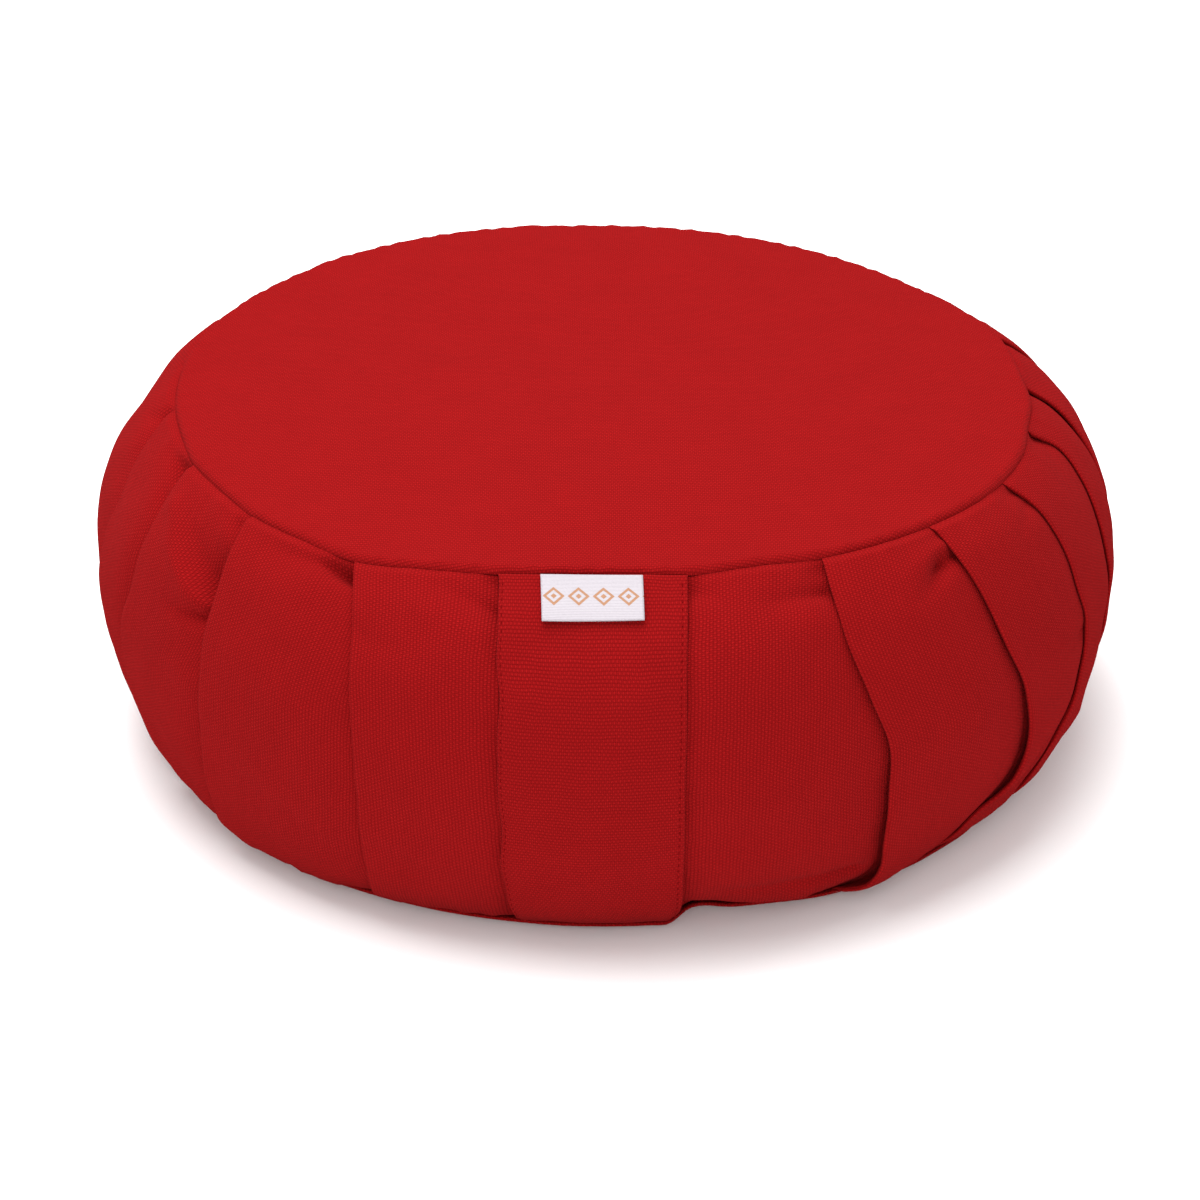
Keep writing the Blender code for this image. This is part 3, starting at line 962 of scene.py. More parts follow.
@dataclass(frozen=True)
class BottomPanel:
    """The round bottom panel: flat where it stands, its edge turned up to the hem seam.

    Attributes:
        side: The filled side.
        columns: Points round each ring.
        thickness: The closed sheet's thickness.
        turn_width: How far in from the hem the edge starts to turn up.
        proud: How far out of the hem the edge stands, and how far below it the edge ends.
        round_out: How far out the edge's own round goes.
        round_down: Half the height of that round.
        seam_cloth: How much wider than the hem the panel is cut, at each side. Not used.
    """

    side: FilledSide
    columns: int = 400
    thickness: float = 1.2 * MM
    turn_width: float = 9 * MM
    proud: float = 0.9 * MM
    round_out: float = 0.7 * MM
    round_down: float = 0.6 * MM
    seam_cloth: float = 1.5 * MM

    # The radius from which the panel follows the hem's own shift, and the width over which that comes in
    SHIFT_FROM = 110 * MM
    SHIFT_WIDTH = 38 * MM
    # The third cloth number, which sets this piece's threads apart
    CLOTH_APART = 5.3

    def profile(self) -> ndarray:
        """Works out the closed sheet's section: over the inside, round the edge, and back under the flat.

        Returns:
            Radii, heights and how far each point moves with the uneven hem.
        """
        sizes = self.side.sizes
        flat, edge = sizes.hem_radius - self.turn_width, sizes.hem_radius + self.proud
        top = sizes.hem_height - self.proud
        inside = [(share * flat, self.thickness, 0.0) for share in (0.01, 0.3, 0.6, 0.85, 1.0)]
        climb = [(flat + (edge - flat) * t, self.thickness + (top - self.thickness) * t, t)
                 for t in (0.3, 0.6, 0.85, 1.0)]
        turn = [(edge + self.round_out * math.sin(t), top - self.round_down * (1 - math.cos(t)), 1.0)
                for t in (0.8, 1.57, 2.4)]
        fall = [(flat + (edge - flat) * t, (top - 2 * self.round_down) * t**1.5, t)
                for t in (0.92, 0.8, 0.65, 0.5, 0.35, 0.2, 0.1, 0.0)]
        under = [(share * flat, 0.0, 0.0) for share in (0.97, 0.85, 0.6, 0.3, 0.01)]
        return np.array([*inside, *climb, *turn, *fall, *under])

    def build(self, material: Material) -> Object:
        """Builds the panel.

        Args:
            material: The canvas.

        Returns:
            The panel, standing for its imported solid.
        """
        sizes = self.side.sizes
        angle = np.radians(np.linspace(0, 360, self.columns, endpoint=False))[None, :]
        profile = self.profile()
        waves = Unevenness(seed=31, waves=10, longest=60 * MM, shortest=18 * MM, height=0.35 * MM)
        swing = waves.on(on_circle(angle, 1.0, 0.0) * sizes.hem_radius)
        out, up = self.side.shift(HEM_PLAN, np.degrees(angle))
        near_edge = smooth_step((profile[:, :1] - self.SHIFT_FROM) / self.SHIFT_WIDTH)
        radius = profile[:, :1] + swing * profile[:, 2:] + out * near_edge
        height = np.maximum(profile[:, 1:2] + (0.5 * swing + up) * profile[:, 2:], 0)
        points = on_circle(angle, radius, height)
        cloth = in_space(points[..., 1], points[..., 0], self.CLOTH_APART)
        made = ringed_piece("bottom_panel_canvas", points, cloth, material)
        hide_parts("bottom_panel")
        return made


# ---------------------------------------------------------------- the overlap panel and the label


@dataclass(frozen=True)
class OverlapPanel:
    """The doubled strip that closes the band at the front, topstitched down both edges.

    Attributes:
        side: The filled side.
        rows: Stations from seam to hem.
        columns: Points across each of its faces.
        start: The share at which it comes out of the top seam.
        stop: The share at which it ends at the hem.
        inner: Its inner face's height over the filled shape.
        outer: Its outer face's height over the filled shape.
        left_stitch: How far in from its left edge the stitches run.
        right_stitch: How far in from its right edge the stitches run.
        stitch_sink: How deep the stitches draw the cloth in.
        stitch_spread: How far from them it is drawn in.
        bulge: How much its face bulges.
        round_edge: How far in from an edge it has its full thickness.
        round_end: The share over which its ends come to their full thickness.
    """

    side: FilledSide
    rows: int = 170
    columns: int = 50
    start: float = 0.001
    stop: float = 0.992
    inner: float = -0.7 * MM
    outer: float = 1.4 * MM
    left_stitch: float = 1.2 * MM
    right_stitch: float = 1.9 * MM
    stitch_sink: float = 0.3 * MM
    stitch_spread: float = 0.7 * MM
    bulge: float = 0.7 * MM
    round_edge: float = 0.9 * MM
    round_end: float = 0.012

    # The third cloth number, which sets this piece's threads apart
    CLOTH_APART = 7.7

    def outer_face(self, across: ndarray, shares: ndarray) -> tuple:
        """Works out the strip's outer face.

        Args:
            across: Places across the strip, 0 at its left edge and 1 at its right.
            shares: Shares from seam to hem.

        Returns:
            Angles, heights over the filled shape, and the strip's width, in metres.
        """
        left = smooth_through(EDGE_SHARES, OVERLAP_LEFT, shares)
        right = smooth_through(EDGE_SHARES, OVERLAP_RIGHT, shares)
        # The left edge wanders by up to 0.2 degrees
        wobble = 0.12 * np.sin(shares * 23) + 0.08 * np.sin(shares * 41 + 1)
        angle = left + wobble * (1 - across) + (right - left) * across
        width = np.radians(right - left) * self.side.outline(shares)[0]
        sink = bell((across * width - self.left_stitch) / self.stitch_spread)
        sink = sink + bell(((1 - across) * width - self.right_stitch) / self.stitch_spread)
        waves = Unevenness(seed=41, waves=12, longest=70 * MM, shortest=16 * MM, height=0.28 * MM)
        height = self.outer - self.stitch_sink * sink + waves.on(self.side.place(angle, shares, 0 * angle))
        height = height + self.bulge * np.sin(np.pi * across) * np.sin(np.pi * np.clip(shares, 0, 1)) ** 0.6
        return angle, height, width

    def build(self, material: Material) -> Object:
        """Builds the strip.

        Args:
            material: The canvas.

        Returns:
            The strip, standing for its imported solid.
        """
        across = crowded(self.columns, 0.35)[None, :]
        rows = np.linspace(self.start, self.stop, self.rows)[:, None]
        # Its lower end runs a little unevenly into the hem, by up to a hundredth of the side
        uneven_end = 0.006 * np.sin(across * 9 + 0.7) + 0.004 * np.sin(across * 21)
        shares = np.clip(rows + uneven_end * smooth_step((rows - 0.9) / 0.09), 0, 1)
        angle, height, width = self.outer_face(across, shares)
        to_end = np.clip(np.minimum(rows - self.start, self.stop - rows) / self.round_end, 0, 1)
        to_edge = np.clip(np.minimum(across, 1 - across) * width / self.round_edge, 0, 1)
        # Its ends keep 0.6 of their thickness and its edges 0.2, rounded from there to the full
        rounding = 0.6 + 0.4 * np.sqrt(1 - (1 - to_end) ** 2)
        rounding = rounding * (0.2 + 0.8 * np.sqrt(1 - (1 - to_edge) ** 2))
        middle, half = (height + self.inner) / 2, (height - self.inner) / 2 * rounding
        front = self.side.place(angle, shares, middle + half)
        back = self.side.place(angle, shares, middle - half)
        cloth = in_space(across * width, self.side.length(shares), self.CLOTH_APART)
        loops = np.concatenate([front, back[:, ::-1]], 1)
        places = np.concatenate([cloth, cloth[:, ::-1] + (0, 0, 1)], 1)
        made = looped_piece("front_overlap_panel", loops, places, material)
        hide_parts("front_overlap")
        return made


@dataclass(frozen=True)
class WovenLabel:
    """A folded satin ribbon caught in the top seam, hanging over the overlap panel.

    Attributes:
        side: The filled side.
        overlap: The panel it hangs over.
        width: The ribbon's width.
        drop: How far down the side it hangs, as a share.
        uneven_drop: How much further its left end hangs than its middle.
        start: The share at which it comes out of the seam.
        centre_deg: The angle of its middle at the seam.
        lean: How far its lower end lies to the right of its upper end.
        seam_in: How much nearer to the axis than the nominal the seam runs behind it.
        layer: The ribbon's thickness.
        opening: The gap between its two layers.
        stations: Points across its width.
        path_points: Points down each layer.
        fold_points: Points round its fold.
    """

    side: FilledSide
    overlap: OverlapPanel
    width: float = 32.4 * MM
    drop: float = 0.125
    uneven_drop: float = 0.002
    start: float = 0.007
    centre_deg: float = -1.72
    lean: float = 0.9 * MM
    seam_in: float = 4.4 * MM
    layer: float = 0.36 * MM
    opening: float = 0.30 * MM
    stations: int = 44
    path_points: int = 36
    fold_points: int = 7

    # The third cloth number of its outer skin, and the one that lies between those of both skins
    CLOTH_APART = 9.0
    SKIN_LIMIT = 9.4

    def skin(self, inset: float, t: ndarray) -> tuple[ndarray, ndarray]:
        """Works out one skin of the folded ribbon's section: down the front, round the fold, up the back.

        Args:
            inset: How far the skin lies inside the ribbon's outer skin.
            t: Places across the ribbon, from -1 to 1.

        Returns:
            Shares down the side and heights over the filled shape.
        """
        down = np.linspace(0, 1, self.path_points)
        nose = np.linspace(0, np.pi, self.fold_points + 2)[1:-1]
        gap = self.opening + 2 * self.layer
        # It hangs further off the overlap panel the lower it is, and its side edges curl outwards
        lie = self.overlap.outer + (0.2 + 0.5 * down) * MM
        curl = (0.4 * down**2 + 0.3 * t**2 * down + 0.2 * np.sin(2.2 * t + 1.0) * down) * MM
        share = self.start + down * (self.drop - self.uneven_drop * t)
        high, low = lie + curl + gap - inset, lie + curl + inset
        reach = (gap / 2 - inset) / self.side.lengths[-1]
        fold_share = share[:, -1:] + reach * np.sin(nose)
        fold_height = (high + low)[:, -1:] / 2 + (high - low)[:, -1:] / 2 * np.cos(nose)
        return (np.concatenate([share, fold_share, share[:, ::-1]], 1),
                np.concatenate([high, fold_height, low[:, ::-1]], 1))

    def build(self, material: Material) -> Object:
        """Builds the label.

        Args:
            material: The ribbon.

        Returns:
            The label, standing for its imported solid.
        """
        t = np.linspace(-1, 1, self.stations)[:, None]
        outer_share, outer_height = self.skin(0.0, t)
        inner_share, inner_height = self.skin(self.layer, t)
        share = np.concatenate([outer_share, inner_share[:, ::-1]], 1)
        height = np.concatenate([outer_height, inner_height[:, ::-1]], 1)
        aside = self.width / 2 * t + self.lean * share / self.drop
        seam_in = self.seam_in * smooth_step(1 - share / self.side.SEAM_FADE)
        radius = self.side.outline(share)[0] + height - seam_in
        angle = self.centre_deg + np.degrees(aside / radius)
        loops = self.side.place(angle, share, height)
        skin = np.concatenate([np.zeros(outer_share.shape[1]), np.ones(inner_share.shape[1])])
        places = in_space(self.width * (t + 1) / 2, share * self.side.lengths[-1], self.CLOTH_APART + skin)
        made = looped_piece("woven_label", loops, places, material)
        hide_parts("label")
        return made


# ---------------------------------------------------------------- stitches


@dataclass(frozen=True)
class Stitches:
    """A row of lockstitches: short thread loops, each sunk a little into the cloth at its ends."""

    name: str
    length: float
    gap: float
    thickness: float

    # Points round a stitch, and rings along it
    SIDES = 8
    RINGS = 7
    # The square of the girth left at its ends, how far its middle rises, and how far its ends lie below
    # that, as shares of the thread's thickness
    LEAST_END = 0.02
    MIDDLE_RISE = 0.12
    END_SINK = 0.75

    def build(self, path: ndarray, normals: ndarray, material: Material) -> Object:
        """Lays stitches along a path.

        Args:
            path: Points along the seam, in metres, close together.
            normals: Directions out of the cloth at those points.
            material: The thread.

        Returns:
            All stitches as one piece.
        """
        steps = np.linalg.norm(np.diff(path, axis=0), axis=1)
        run = np.concatenate([[0], np.cumsum(steps)])
        count = int((run[-1] - self.gap) / (self.length + self.gap))
        bend = np.abs(np.linspace(-1, 1, self.RINGS)) ** 3
        girth = self.thickness / 2 * np.sqrt(np.maximum(1 - bend, self.LEAST_END))[:, None, None]
        sink = self.thickness * (self.MIDDLE_RISE - self.END_SINK * bend)[:, None]
        turn = np.linspace(0, 2 * np.pi, self.SIDES, endpoint=False)
        cos, sin = np.cos(turn)[None, :, None], np.sin(turn)[None, :, None]
        points, faces, cloth = [], [], []
        for k in range(count):
            start = self.gap / 2 + k * (self.length + self.gap)
            at = start + self.length * np.linspace(0, 1, self.RINGS)
            centre, out = (np.stack([np.interp(at, run, line[:, j]) for j in range(3)], -1)
                           for line in (path, normals))
            ahead = centre[-1] - centre[0]
            ahead = ahead / np.linalg.norm(ahead)
            aside = np.cross(ahead, out)
            ring = (centre + out * sink)[:, None] + girth * (cos * aside[:, None] + sin * out[:, None])
            first = k * self.RINGS * self.SIDES
            points.append(ring.reshape(-1, 3))
            faces += (np.array(grid_faces(self.RINGS, self.SIDES)) + first).tolist()
            faces.append([first + j for j in range(self.SIDES)])
            faces.append([first + (self.RINGS - 1) * self.SIDES + j for j in reversed(range(self.SIDES))])
            places = in_space((at - start)[:, None], turn * self.thickness / 2, float(k))
            cloth.append(places.reshape(-1, 3))
        made = cloth_object(self.name, np.concatenate(points), faces, np.concatenate(cloth), material)
        return made


@dataclass(frozen=True)
class StitchWork:
    """Where the cushion's stitches show: down both edges of the overlap panel, and in the hem seam."""

    side: FilledSide
    overlap: OverlapPanel

    # The shares between which the edges are topstitched, and how many points their paths have
    EDGE_RUN = (0.02, 0.965)
    EDGE_POINTS = 300
    # How far from the overlap panel's edges the hem's stitches start and end, the end a full turn on
    HEM_START_DEG = 0.6
    HEM_END_DEG = 359.4
    HEM_POINTS = 1400
    # How far they lie out of the hem and below it, and their way out of the cloth, outwards and down
    HEM_PROUD = 0.5 * MM
    HEM_BELOW = 0.9 * MM
    HEM_NORMAL = (0.9, -0.43)

    def edge_path(self, right_side: bool) -> tuple[ndarray, ndarray]:
        """Gives the points and normals of the topstitching down one edge of the overlap panel.

        Args:
            right_side: Whether it is the right edge.

        Returns:
            Points and unit normals.
        """
        shares = np.linspace(*self.EDGE_RUN, self.EDGE_POINTS)
        _, _, width = self.overlap.outer_face(np.zeros(shares.shape), shares)
        if right_side:
            across = 1 - self.overlap.right_stitch / width
        else:
            across = self.overlap.left_stitch / width
        angle, height, _ = self.overlap.outer_face(across, shares)
        points = self.side.place(angle, shares, height)
        normals = self.side.place(angle, shares, height + MM) - points
        return points, normals / np.linalg.norm(normals, axis=1, keepdims=True)

    def hem_path(self) -> tuple[ndarray, ndarray]:
        """Gives the path of the hem's stitches, from one side of the overlap panel round to the other.

        Returns:
            Points, and directions out of the cloth.
        """
        start, end = OVERLAP_RIGHT[-1] + self.HEM_START_DEG, OVERLAP_LEFT[-1] + self.HEM_END_DEG
        angle = np.linspace(start, end, self.HEM_POINTS)
        points = self.side.place(angle, np.full(angle.shape, 1.0), np.full(angle.shape, self.HEM_PROUD))
        points[:, 2] -= self.HEM_BELOW
        return points, on_circle(np.radians(angle), *self.HEM_NORMAL)

    def build(self, material: Material) -> list[Object]:
        """Builds the rows of stitches.

        Args:
            material: The thread.

        Returns:
            The topstitching down the left and right edges, and the hem's stitches.
        """
        left = Stitches("overlap_left_topstitch", length=1.8 * MM, gap=0.9 * MM, thickness=0.38 * MM)
        right = Stitches("overlap_right_topstitch", length=1.9 * MM, gap=0.9 * MM, thickness=0.42 * MM)
        hem = Stitches("hem_seam_stitches", length=1.5 * MM, gap=1.3 * MM, thickness=0.5 * MM)
        return [
            left.build(*self.edge_path(right_side=False), material),
            right.build(*self.edge_path(right_side=True), material),
            hem.build(*self.hem_path(), material),
        ]


# ---------------------------------------------------------------- finishes


@dataclass(frozen=True)
class CanvasFinish:
    """Cotton canvas, plain-woven with thick threads one way, then piece-dyed red.

    The thick threads make fine ribs with staggered rounded crowns, with shade painted darker into the hollows
    between them.
    It is matt, with a faint pink haze of loose fibres where it is seen at a slant.
    """

    name: str = "plain_woven_cotton_canvas"
    rib_pitch: float = 1.12 * MM
    cross_pitch: float = 0.66 * MM
    thread_rise: float = 0.31 * MM
    thread_round: float = 0.6
    thin_thread_rise: float = 0.55
    wander: float = 1.1 * MM
    wander_size: float = 9 * MM
    slub_size: tuple[float, float, float] = (7 * MM, 0.8 * MM, 40 * MM)
    mottle_size: float = 16 * MM
    mottle: float = 0.035
    painted_hollow_shade: str = "#690A0C"
    crown: str = "#981516"
    haze: str = "#F08080"
    hollow_roughness: float = 0.96
    crown_roughness: float = 0.84
    sheen: float = 0.045
    ior: float = 1.50

    def weave_height(self, tree: NodeTree, place: Node) -> Node:
        """Adds the nodes for the weave's relief.

        Args:
            tree: The material's tree.
            place: Gives the place on the cloth, in metres.

        Returns:
            The relief, from 0 in the hollows to 1 on the crowns of the thick threads.
        """
        parts = add_node(tree, "SeparateXYZ", (place,))
        waves, rounds, layers = [], [], []
        for axis, pitch in enumerate((self.cross_pitch, self.rib_pitch)):
            turns = add_node(tree, "Math", (parts.outputs[axis], math.pi / pitch), operation="MULTIPLY")
            waves.append(add_node(tree, "Math", (turns,), operation="SINE"))
            size = add_node(tree, "Math", (waves[axis],), operation="ABSOLUTE")
            rounds.append(add_node(tree, "Math", (size, self.thread_round), operation="POWER"))
        # Each set of threads lies over the other at every second crossing
        for crossing, own, sense, gain in ((0, 1, 0.5, 1.0), (1, 0, -0.5, self.thin_thread_rise)):
            sign = add_node(tree, "Math", (waves[own],), operation="SIGN")
            over = add_node(tree, "Math", (waves[crossing], sign), operation="MULTIPLY")
            lift = add_node(tree, "Math", (over, sense, 0.5), operation="MULTIPLY_ADD")
            thread = add_node(tree, "Math", (lift, rounds[own]), operation="MULTIPLY")
            layers.append(add_node(tree, "Math", (thread, gain), operation="MULTIPLY"))
        return add_node(tree, "Math", (*layers, 0.15), operation="SMOOTH_MAX")

    def material(self) -> Material:
        """Makes the material.

        Returns:
            The material.
        """
        made, tree, shader = new_material(self.name)
        cloth = add_node(tree, "Attribute", {}, attribute_name=CLOTH_ATTRIBUTE).outputs["Vector"]
        drift = add_node(tree, "TexNoise", {"Vector": cloth, "Scale": 1 / self.wander_size, "Detail": 2.0})
        centred = add_node(tree, "VectorMath", (drift.outputs["Color"], (0.5, 0.5, 0.5)),
                           operation="SUBTRACT")
        wobble = add_node(tree, "VectorMath", {0: centred, "Scale": self.wander}, operation="SCALE")
        place = add_node(tree, "VectorMath", (cloth, wobble), operation="ADD")
        height = self.weave_height(tree, place)
        # Slubs: each thick thread swells and thins along its length
        stretched = add_node(tree, "VectorMath", (place, tuple(1 / size for size in self.slub_size)),
                             operation="MULTIPLY")
        slub = add_node(tree, "TexNoise", {"Vector": stretched, "Scale": 1.0, "Detail": 2.0,
                                           "Roughness": 0.6})
        swell = add_node(tree, "MapRange", (slub, 0.3, 0.7, 0.80, 1.08))
        relief = add_node(tree, "Math", (height, swell), operation="MULTIPLY")
        # Dye: the colour drifts a little over the cloth
        mottle = add_node(tree, "TexNoise", {"Vector": cloth, "Scale": 1 / self.mottle_size, "Detail": 3.0})
        shade = add_node(tree, "MapRange", (mottle, 0.25, 0.75, -self.mottle, self.mottle))
        # Painted shade: the colour darkens from the threads' crowns into the hollows between them, shifted a
        # little by the dye's drift
        painted_shade_tone = add_node(tree, "Math", (relief, shade), operation="ADD", use_clamp=True)
        colour = add_node(tree, "Mix", {0: painted_shade_tone, 6: linear_rgb(self.painted_hollow_shade), 7: linear_rgb(self.crown)},
                          data_type="RGBA")
        matt = add_node(tree, "MapRange", {0: relief, "To Min": self.hollow_roughness,
                                           "To Max": self.crown_roughness})
        bump = add_node(tree, "Bump", {"Height": relief, "Distance": self.thread_rise, "Strength": 1.0})
        fill_inputs(tree, shader, {
            "Base Color": colour.outputs[2], "Roughness": matt, "Normal": bump, "IOR": self.ior,
            "Specular IOR Level": 0.0, "Sheen Weight": self.sheen, "Sheen Roughness": 0.5,
            "Sheen Tint": linear_rgb(self.haze),
        })
        return made


@dataclass(frozen=True)
class RibbonFinish:
    """Polyester satin ribbon with a row of lozenges woven into its face.

    The satin gives a soft white with fine cross ribs, shade painted darker into the valleys between them, and
    the lozenges are a dull orange thread.
    """

    name: str = "woven_polyester_satin"
    ground: str = "#B0A9AF"
    painted_rib_shade: str = "#A099A0"
    figure: str = "#98663E"
    rib_pitch: float = 0.55 * MM
    rib_rise: float = 0.06 * MM
    fleck_size: float = 0.7 * MM
    repeat: float = 7.9 * MM
    figure_half: float = 3.3 * MM
    line_inset: float = 0.4 * MM
    line_half: float = 0.6 * MM
    dot_half: float = 1.0 * MM
    centre_down: float = 9.8 * MM
    roughness: float = 0.55
    ior: float = 1.57

    def lozenges(self, tree: NodeTree, across: NodeSocket, down: NodeSocket, layer: NodeSocket) -> Node:
        """Adds the nodes for a row of hollow lozenges with a dot in each.

        Args:
            tree: The material's tree.
            across: The place across the ribbon, in metres.
            down: The place down the ribbon, in metres.
            layer: The number that sets the ribbon's two skins apart.

        Returns:
            1 on the orange figure and 0 off it.
        """
        centred = add_node(tree, "Math", (across, self.repeat / 2), operation="ADD")
        phase = add_node(tree, "Math", (centred, self.repeat), operation="PINGPONG")
        side = add_node(tree, "Math", (phase, -1.0, self.repeat), operation="MULTIPLY_ADD")
        nearer = add_node(tree, "Math", (phase, side), operation="MINIMUM")
        drop = add_node(tree, "Math", (down, self.centre_down), operation="SUBTRACT")
        level = add_node(tree, "Math", (drop,), operation="ABSOLUTE")
        reach = add_node(tree, "Math", (level, nearer), operation="ADD")
        ring = add_node(tree, "Math", (reach, self.figure_half - self.line_inset, self.line_half),
                        operation="COMPARE")
        dot = add_node(tree, "Math", (reach, self.dot_half), operation="LESS_THAN")
        both = add_node(tree, "Math", (ring, dot), operation="MAXIMUM")
        front = add_node(tree, "Math", (layer, WovenLabel.SKIN_LIMIT), operation="LESS_THAN")
        return add_node(tree, "Math", (both, front), operation="MULTIPLY")

    def material(self) -> Material:
        """Makes the material.

        Returns:
            The material.
        """
        made, tree, shader = new_material(self.name)
        cloth = add_node(tree, "Attribute", {}, attribute_name=CLOTH_ATTRIBUTE).outputs["Vector"]
        across, down, layer = add_node(tree, "SeparateXYZ", (cloth,)).outputs
        ribs = add_node(tree, "Math", (down, 2 * math.pi / self.rib_pitch), operation="MULTIPLY")
        wave = add_node(tree, "Math", (ribs,), operation="SINE")
        fleck = add_node(tree, "TexNoise", {"Vector": cloth, "Scale": 1 / self.fleck_size, "Detail": 2.0})
        relief = add_node(tree, "Math", (wave, 0.5, fleck), operation="MULTIPLY_ADD")
        painted_shade_tone = add_node(tree, "MapRange", (relief, -0.1, 1.1))
        # Painted shade: the ground darkens into the valleys between the ribs, with random flecks
        ground = add_node(tree, "Mix", {0: painted_shade_tone, 6: linear_rgb(self.painted_rib_shade),
                                        7: linear_rgb(self.ground)}, data_type="RGBA")
        figure = self.lozenges(tree, across, down, layer)
        colour = add_node(tree, "Mix", {0: figure, 6: ground.outputs[2], 7: linear_rgb(self.figure)},
                          data_type="RGBA")
        bump = add_node(tree, "Bump", {"Height": relief, "Distance": self.rib_rise})
        fill_inputs(tree, shader, {"Base Color": colour.outputs[2], "Normal": bump, "IOR": self.ior,
                                   "Roughness": self.roughness, "Sheen Weight": 0.1})
        return made


@dataclass(frozen=True)
class ThreadFinish:
    """Spun polyester sewing thread, dyed to match the canvas.

    The twist of its two plies shows as slanting lines, with shade painted darker into the valleys between
    them.
    """

    name: str = "spun_polyester_thread"
    painted_valley_shade: str = "#4C0506"
    ply: str = "#8E1013"
    twist_pitch: float = 0.5 * MM
    twist_rise: float = 0.05 * MM
    roughness: float = 0.6
    ior: float = 1.57

    def material(self) -> Material:
        """Makes the material.

        Returns:
            The material.
        """
        made, tree, shader = new_material(self.name)
        cloth = add_node(tree, "Attribute", {}, attribute_name=CLOTH_ATTRIBUTE).outputs["Vector"]
        along, around, _ = add_node(tree, "SeparateXYZ", (cloth,)).outputs
        slant = add_node(tree, "Math", (along, around), operation="ADD")
        turns = add_node(tree, "Math", (slant, 2 * math.pi / self.twist_pitch), operation="MULTIPLY")
        wave = add_node(tree, "Math", (turns,), operation="SINE")
        # Painted shade: darker in the valleys between the plies
        painted_shade_tone = add_node(tree, "MapRange", (wave, -1.0))
        colour = add_node(tree, "Mix", {0: painted_shade_tone, 6: linear_rgb(self.painted_valley_shade), 7: linear_rgb(self.ply)},
                          data_type="RGBA")
        bump = add_node(tree, "Bump", {"Height": wave, "Distance": self.twist_rise})
        fill_inputs(tree, shader, {"Base Color": colour.outputs[2], "Normal": bump, "IOR": self.ior,
                                   "Roughness": self.roughness, "Specular IOR Level": 0.0})
        return made


@dataclass(frozen=True)
class PaperFinish:
    """Matt white background paper: barely uneven in tone, with a faint painted glow that lightens the shadows
    on it.
    """

    name: str = "matt_background_paper"
    light: str = "#F8F8F8"
    dark: str = "#F3F3F3"
    clouds_per_metre: float = 3.0
    roughness: float = 0.75
    painted_glow: float = 0.05

    def material(self) -> Material:
        """Makes the material.

        Returns:
            The material.
        """
        made, tree, shader = new_material(self.name)
        place = add_node(tree, "TexCoord", {}).outputs["Object"]
        cloud = add_node(tree, "TexNoise", {"Vector": place, "Scale": self.clouds_per_metre, "Detail": 2.0})
        colour = add_node(tree, "Mix", {0: cloud, 6: linear_rgb(self.dark), 7: linear_rgb(self.light)},
                          data_type="RGBA")
        # The emission is a painted glow that lightens the shadows on the paper
        fill_inputs(tree, shader, {
            "Base Color": colour.outputs[2], "Roughness": self.roughness, "Specular IOR Level": 0.1,
            "Emission Color": linear_rgb("#FFFFFF"), "Emission Strength": self.painted_glow,
        })
        return made


# ---------------------------------------------------------------- the studio


class Lamp(NamedTuple):
    """A square softbox: its power in watts, its size and its place, in metres, aimed at the cushion."""

    name: str
    power: float
    size: float
    place: tuple[float, float, float]


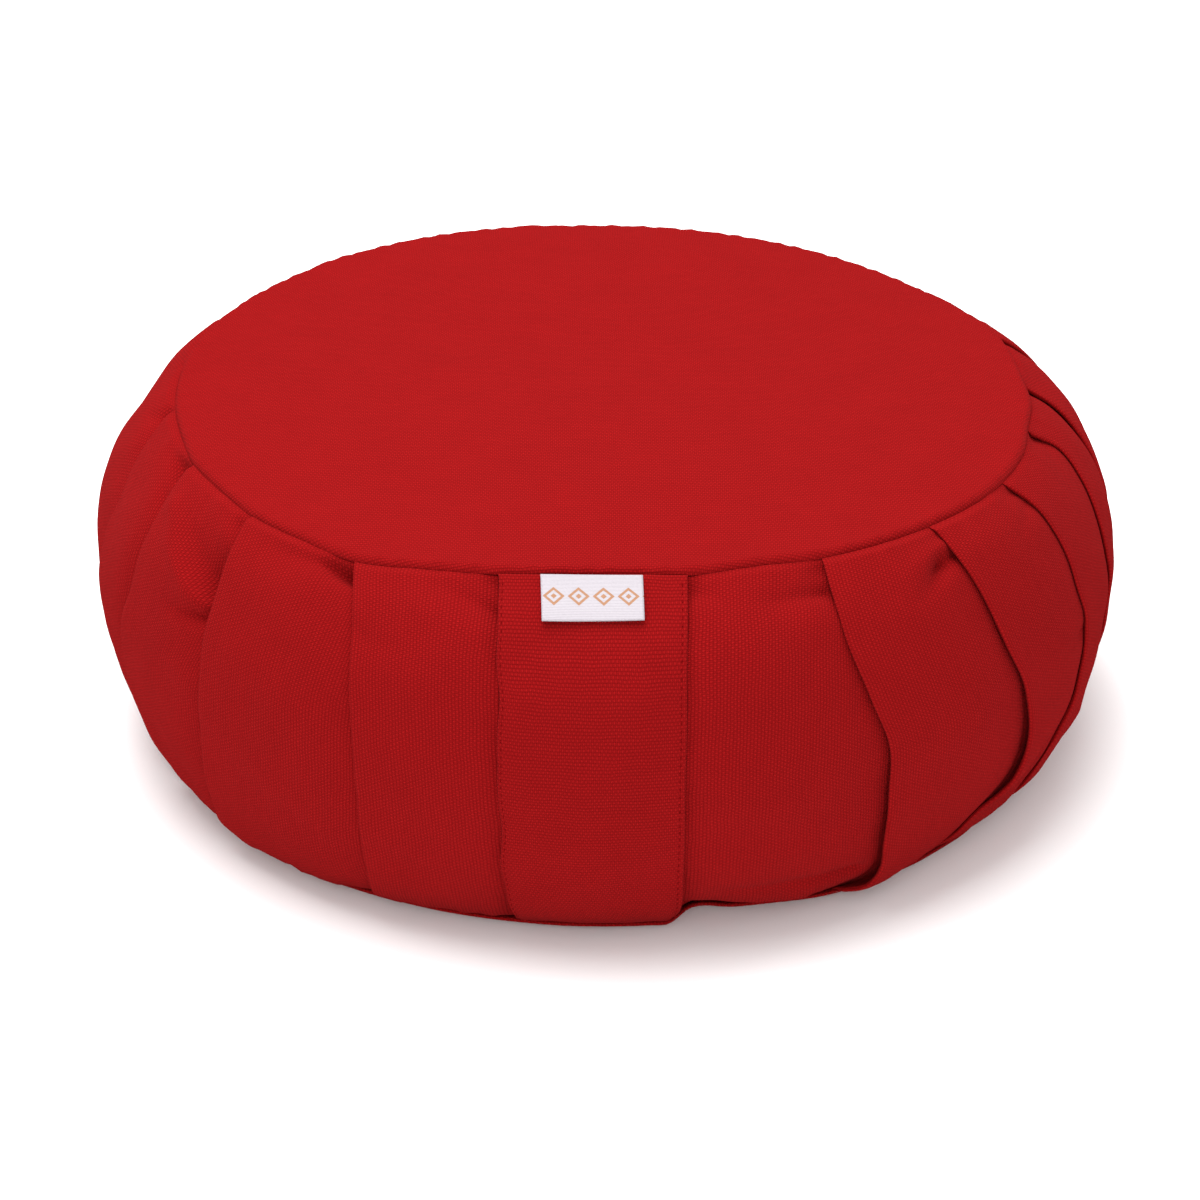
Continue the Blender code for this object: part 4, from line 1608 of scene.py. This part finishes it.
@dataclass(frozen=True)
class Studio:
    """Pale floor, soft light from above, and the camera at the photograph's angle."""

    camera_back: float = 1.1619
    camera_up: float = 0.6531
    camera_tilt_deg: float = 27.82
    lens_mm: float = 109.1
    sensor_mm: float = 36.0
    sideways_shift: float = -0.0046
    floor_size: float = 12.0
    floor_below: float = 0.2 * MM
    sky_strength: float = 0.82
    aim: tuple[float, float, float] = (0, 0, 0.08)
    lamps: tuple[Lamp, ...] = (
        Lamp("soft_overhead", power=40.0, size=1.4, place=(-0.22, 0.20, 1.60)),
        Lamp("soft_front", power=15.0, size=1.6, place=(-0.10, -2.10, 0.90)),
    )

    def build(self) -> None:
        """Builds the floor, the lights and the camera."""
        self.floor()
        self.lights()
        self.camera()
        bpy.context.scene.view_settings.view_transform = "Standard"

    def floor(self) -> None:
        """Lays the floor, a hair below the cushion."""
        half = self.floor_size / 2
        corners = [(-half, -half, 0), (half, -half, 0), (half, half, 0), (-half, half, 0)]
        mesh = bpy.data.meshes.new("paper_floor")
        mesh.from_pydata(corners, [], [(0, 1, 2, 3)])
        mesh.materials.append(PaperFinish().material())
        floor = bpy.data.objects.new("paper_floor", mesh)
        floor.location.z = -self.floor_below
        bpy.context.scene.collection.objects.link(floor)

    def lights(self) -> None:
        """Sets an even white sky, a large soft lamp overhead to the left and a weaker one in front."""
        world = bpy.data.worlds.new("white_studio")
        world.use_nodes = True
        background = world.node_tree.nodes["Background"]
        background.inputs["Color"].default_value = linear_rgb("#FFFFFF")
        background.inputs["Strength"].default_value = self.sky_strength
        bpy.context.scene.world = world
        for lamp in self.lamps:
            light = bpy.data.lights.new(lamp.name, "AREA")
            light.energy = lamp.power
            light.shape = "SQUARE"
            light.size = lamp.size
            placed = bpy.data.objects.new(lamp.name, light)
            placed.location = lamp.place
            toward = Vector(self.aim) - placed.location
            placed.rotation_euler = toward.to_track_quat("-Z", "Y").to_euler()
            bpy.context.scene.collection.objects.link(placed)

    def camera(self) -> None:
        """Sets the camera."""
        camera = bpy.data.cameras.new("studio_camera")
        camera.sensor_width = self.sensor_mm
        camera.lens = self.lens_mm
        camera.shift_x = self.sideways_shift
        placed = bpy.data.objects.new("studio_camera", camera)
        placed.location = (0, -self.camera_back, self.camera_up)
        placed.rotation_euler = (math.radians(90 - self.camera_tilt_deg), 0, 0)
        bpy.context.scene.collection.objects.link(placed)
        bpy.context.scene.camera = placed


# ---------------------------------------------------------------- the cushion


def main() -> None:
    """Builds the cushion piece by piece, then the studio round it."""
    logging.basicConfig(level=logging.INFO, format="%(name)s: %(message)s")
    canvas = CanvasFinish().material()
    ribbon = RibbonFinish().material()
    thread = ThreadFinish().material()
    side = FilledSide(CushionSizes.from_frame())
    band = SideBand(side).build(canvas)
    top = TopPanel(side).build(canvas)
    bottom = BottomPanel(side).build(canvas)
    overlap = OverlapPanel(side)
    strip = overlap.build(canvas)
    stitches = StitchWork(side, overlap).build(thread)
    label = WovenLabel(side, overlap).build(ribbon)
    for piece in (band, top, bottom, strip, *stitches, label):
        LOG.info("%s: %d faces", piece.name, len(piece.data.polygons))
    Studio().build()


if __name__ == "__main__":
    main()
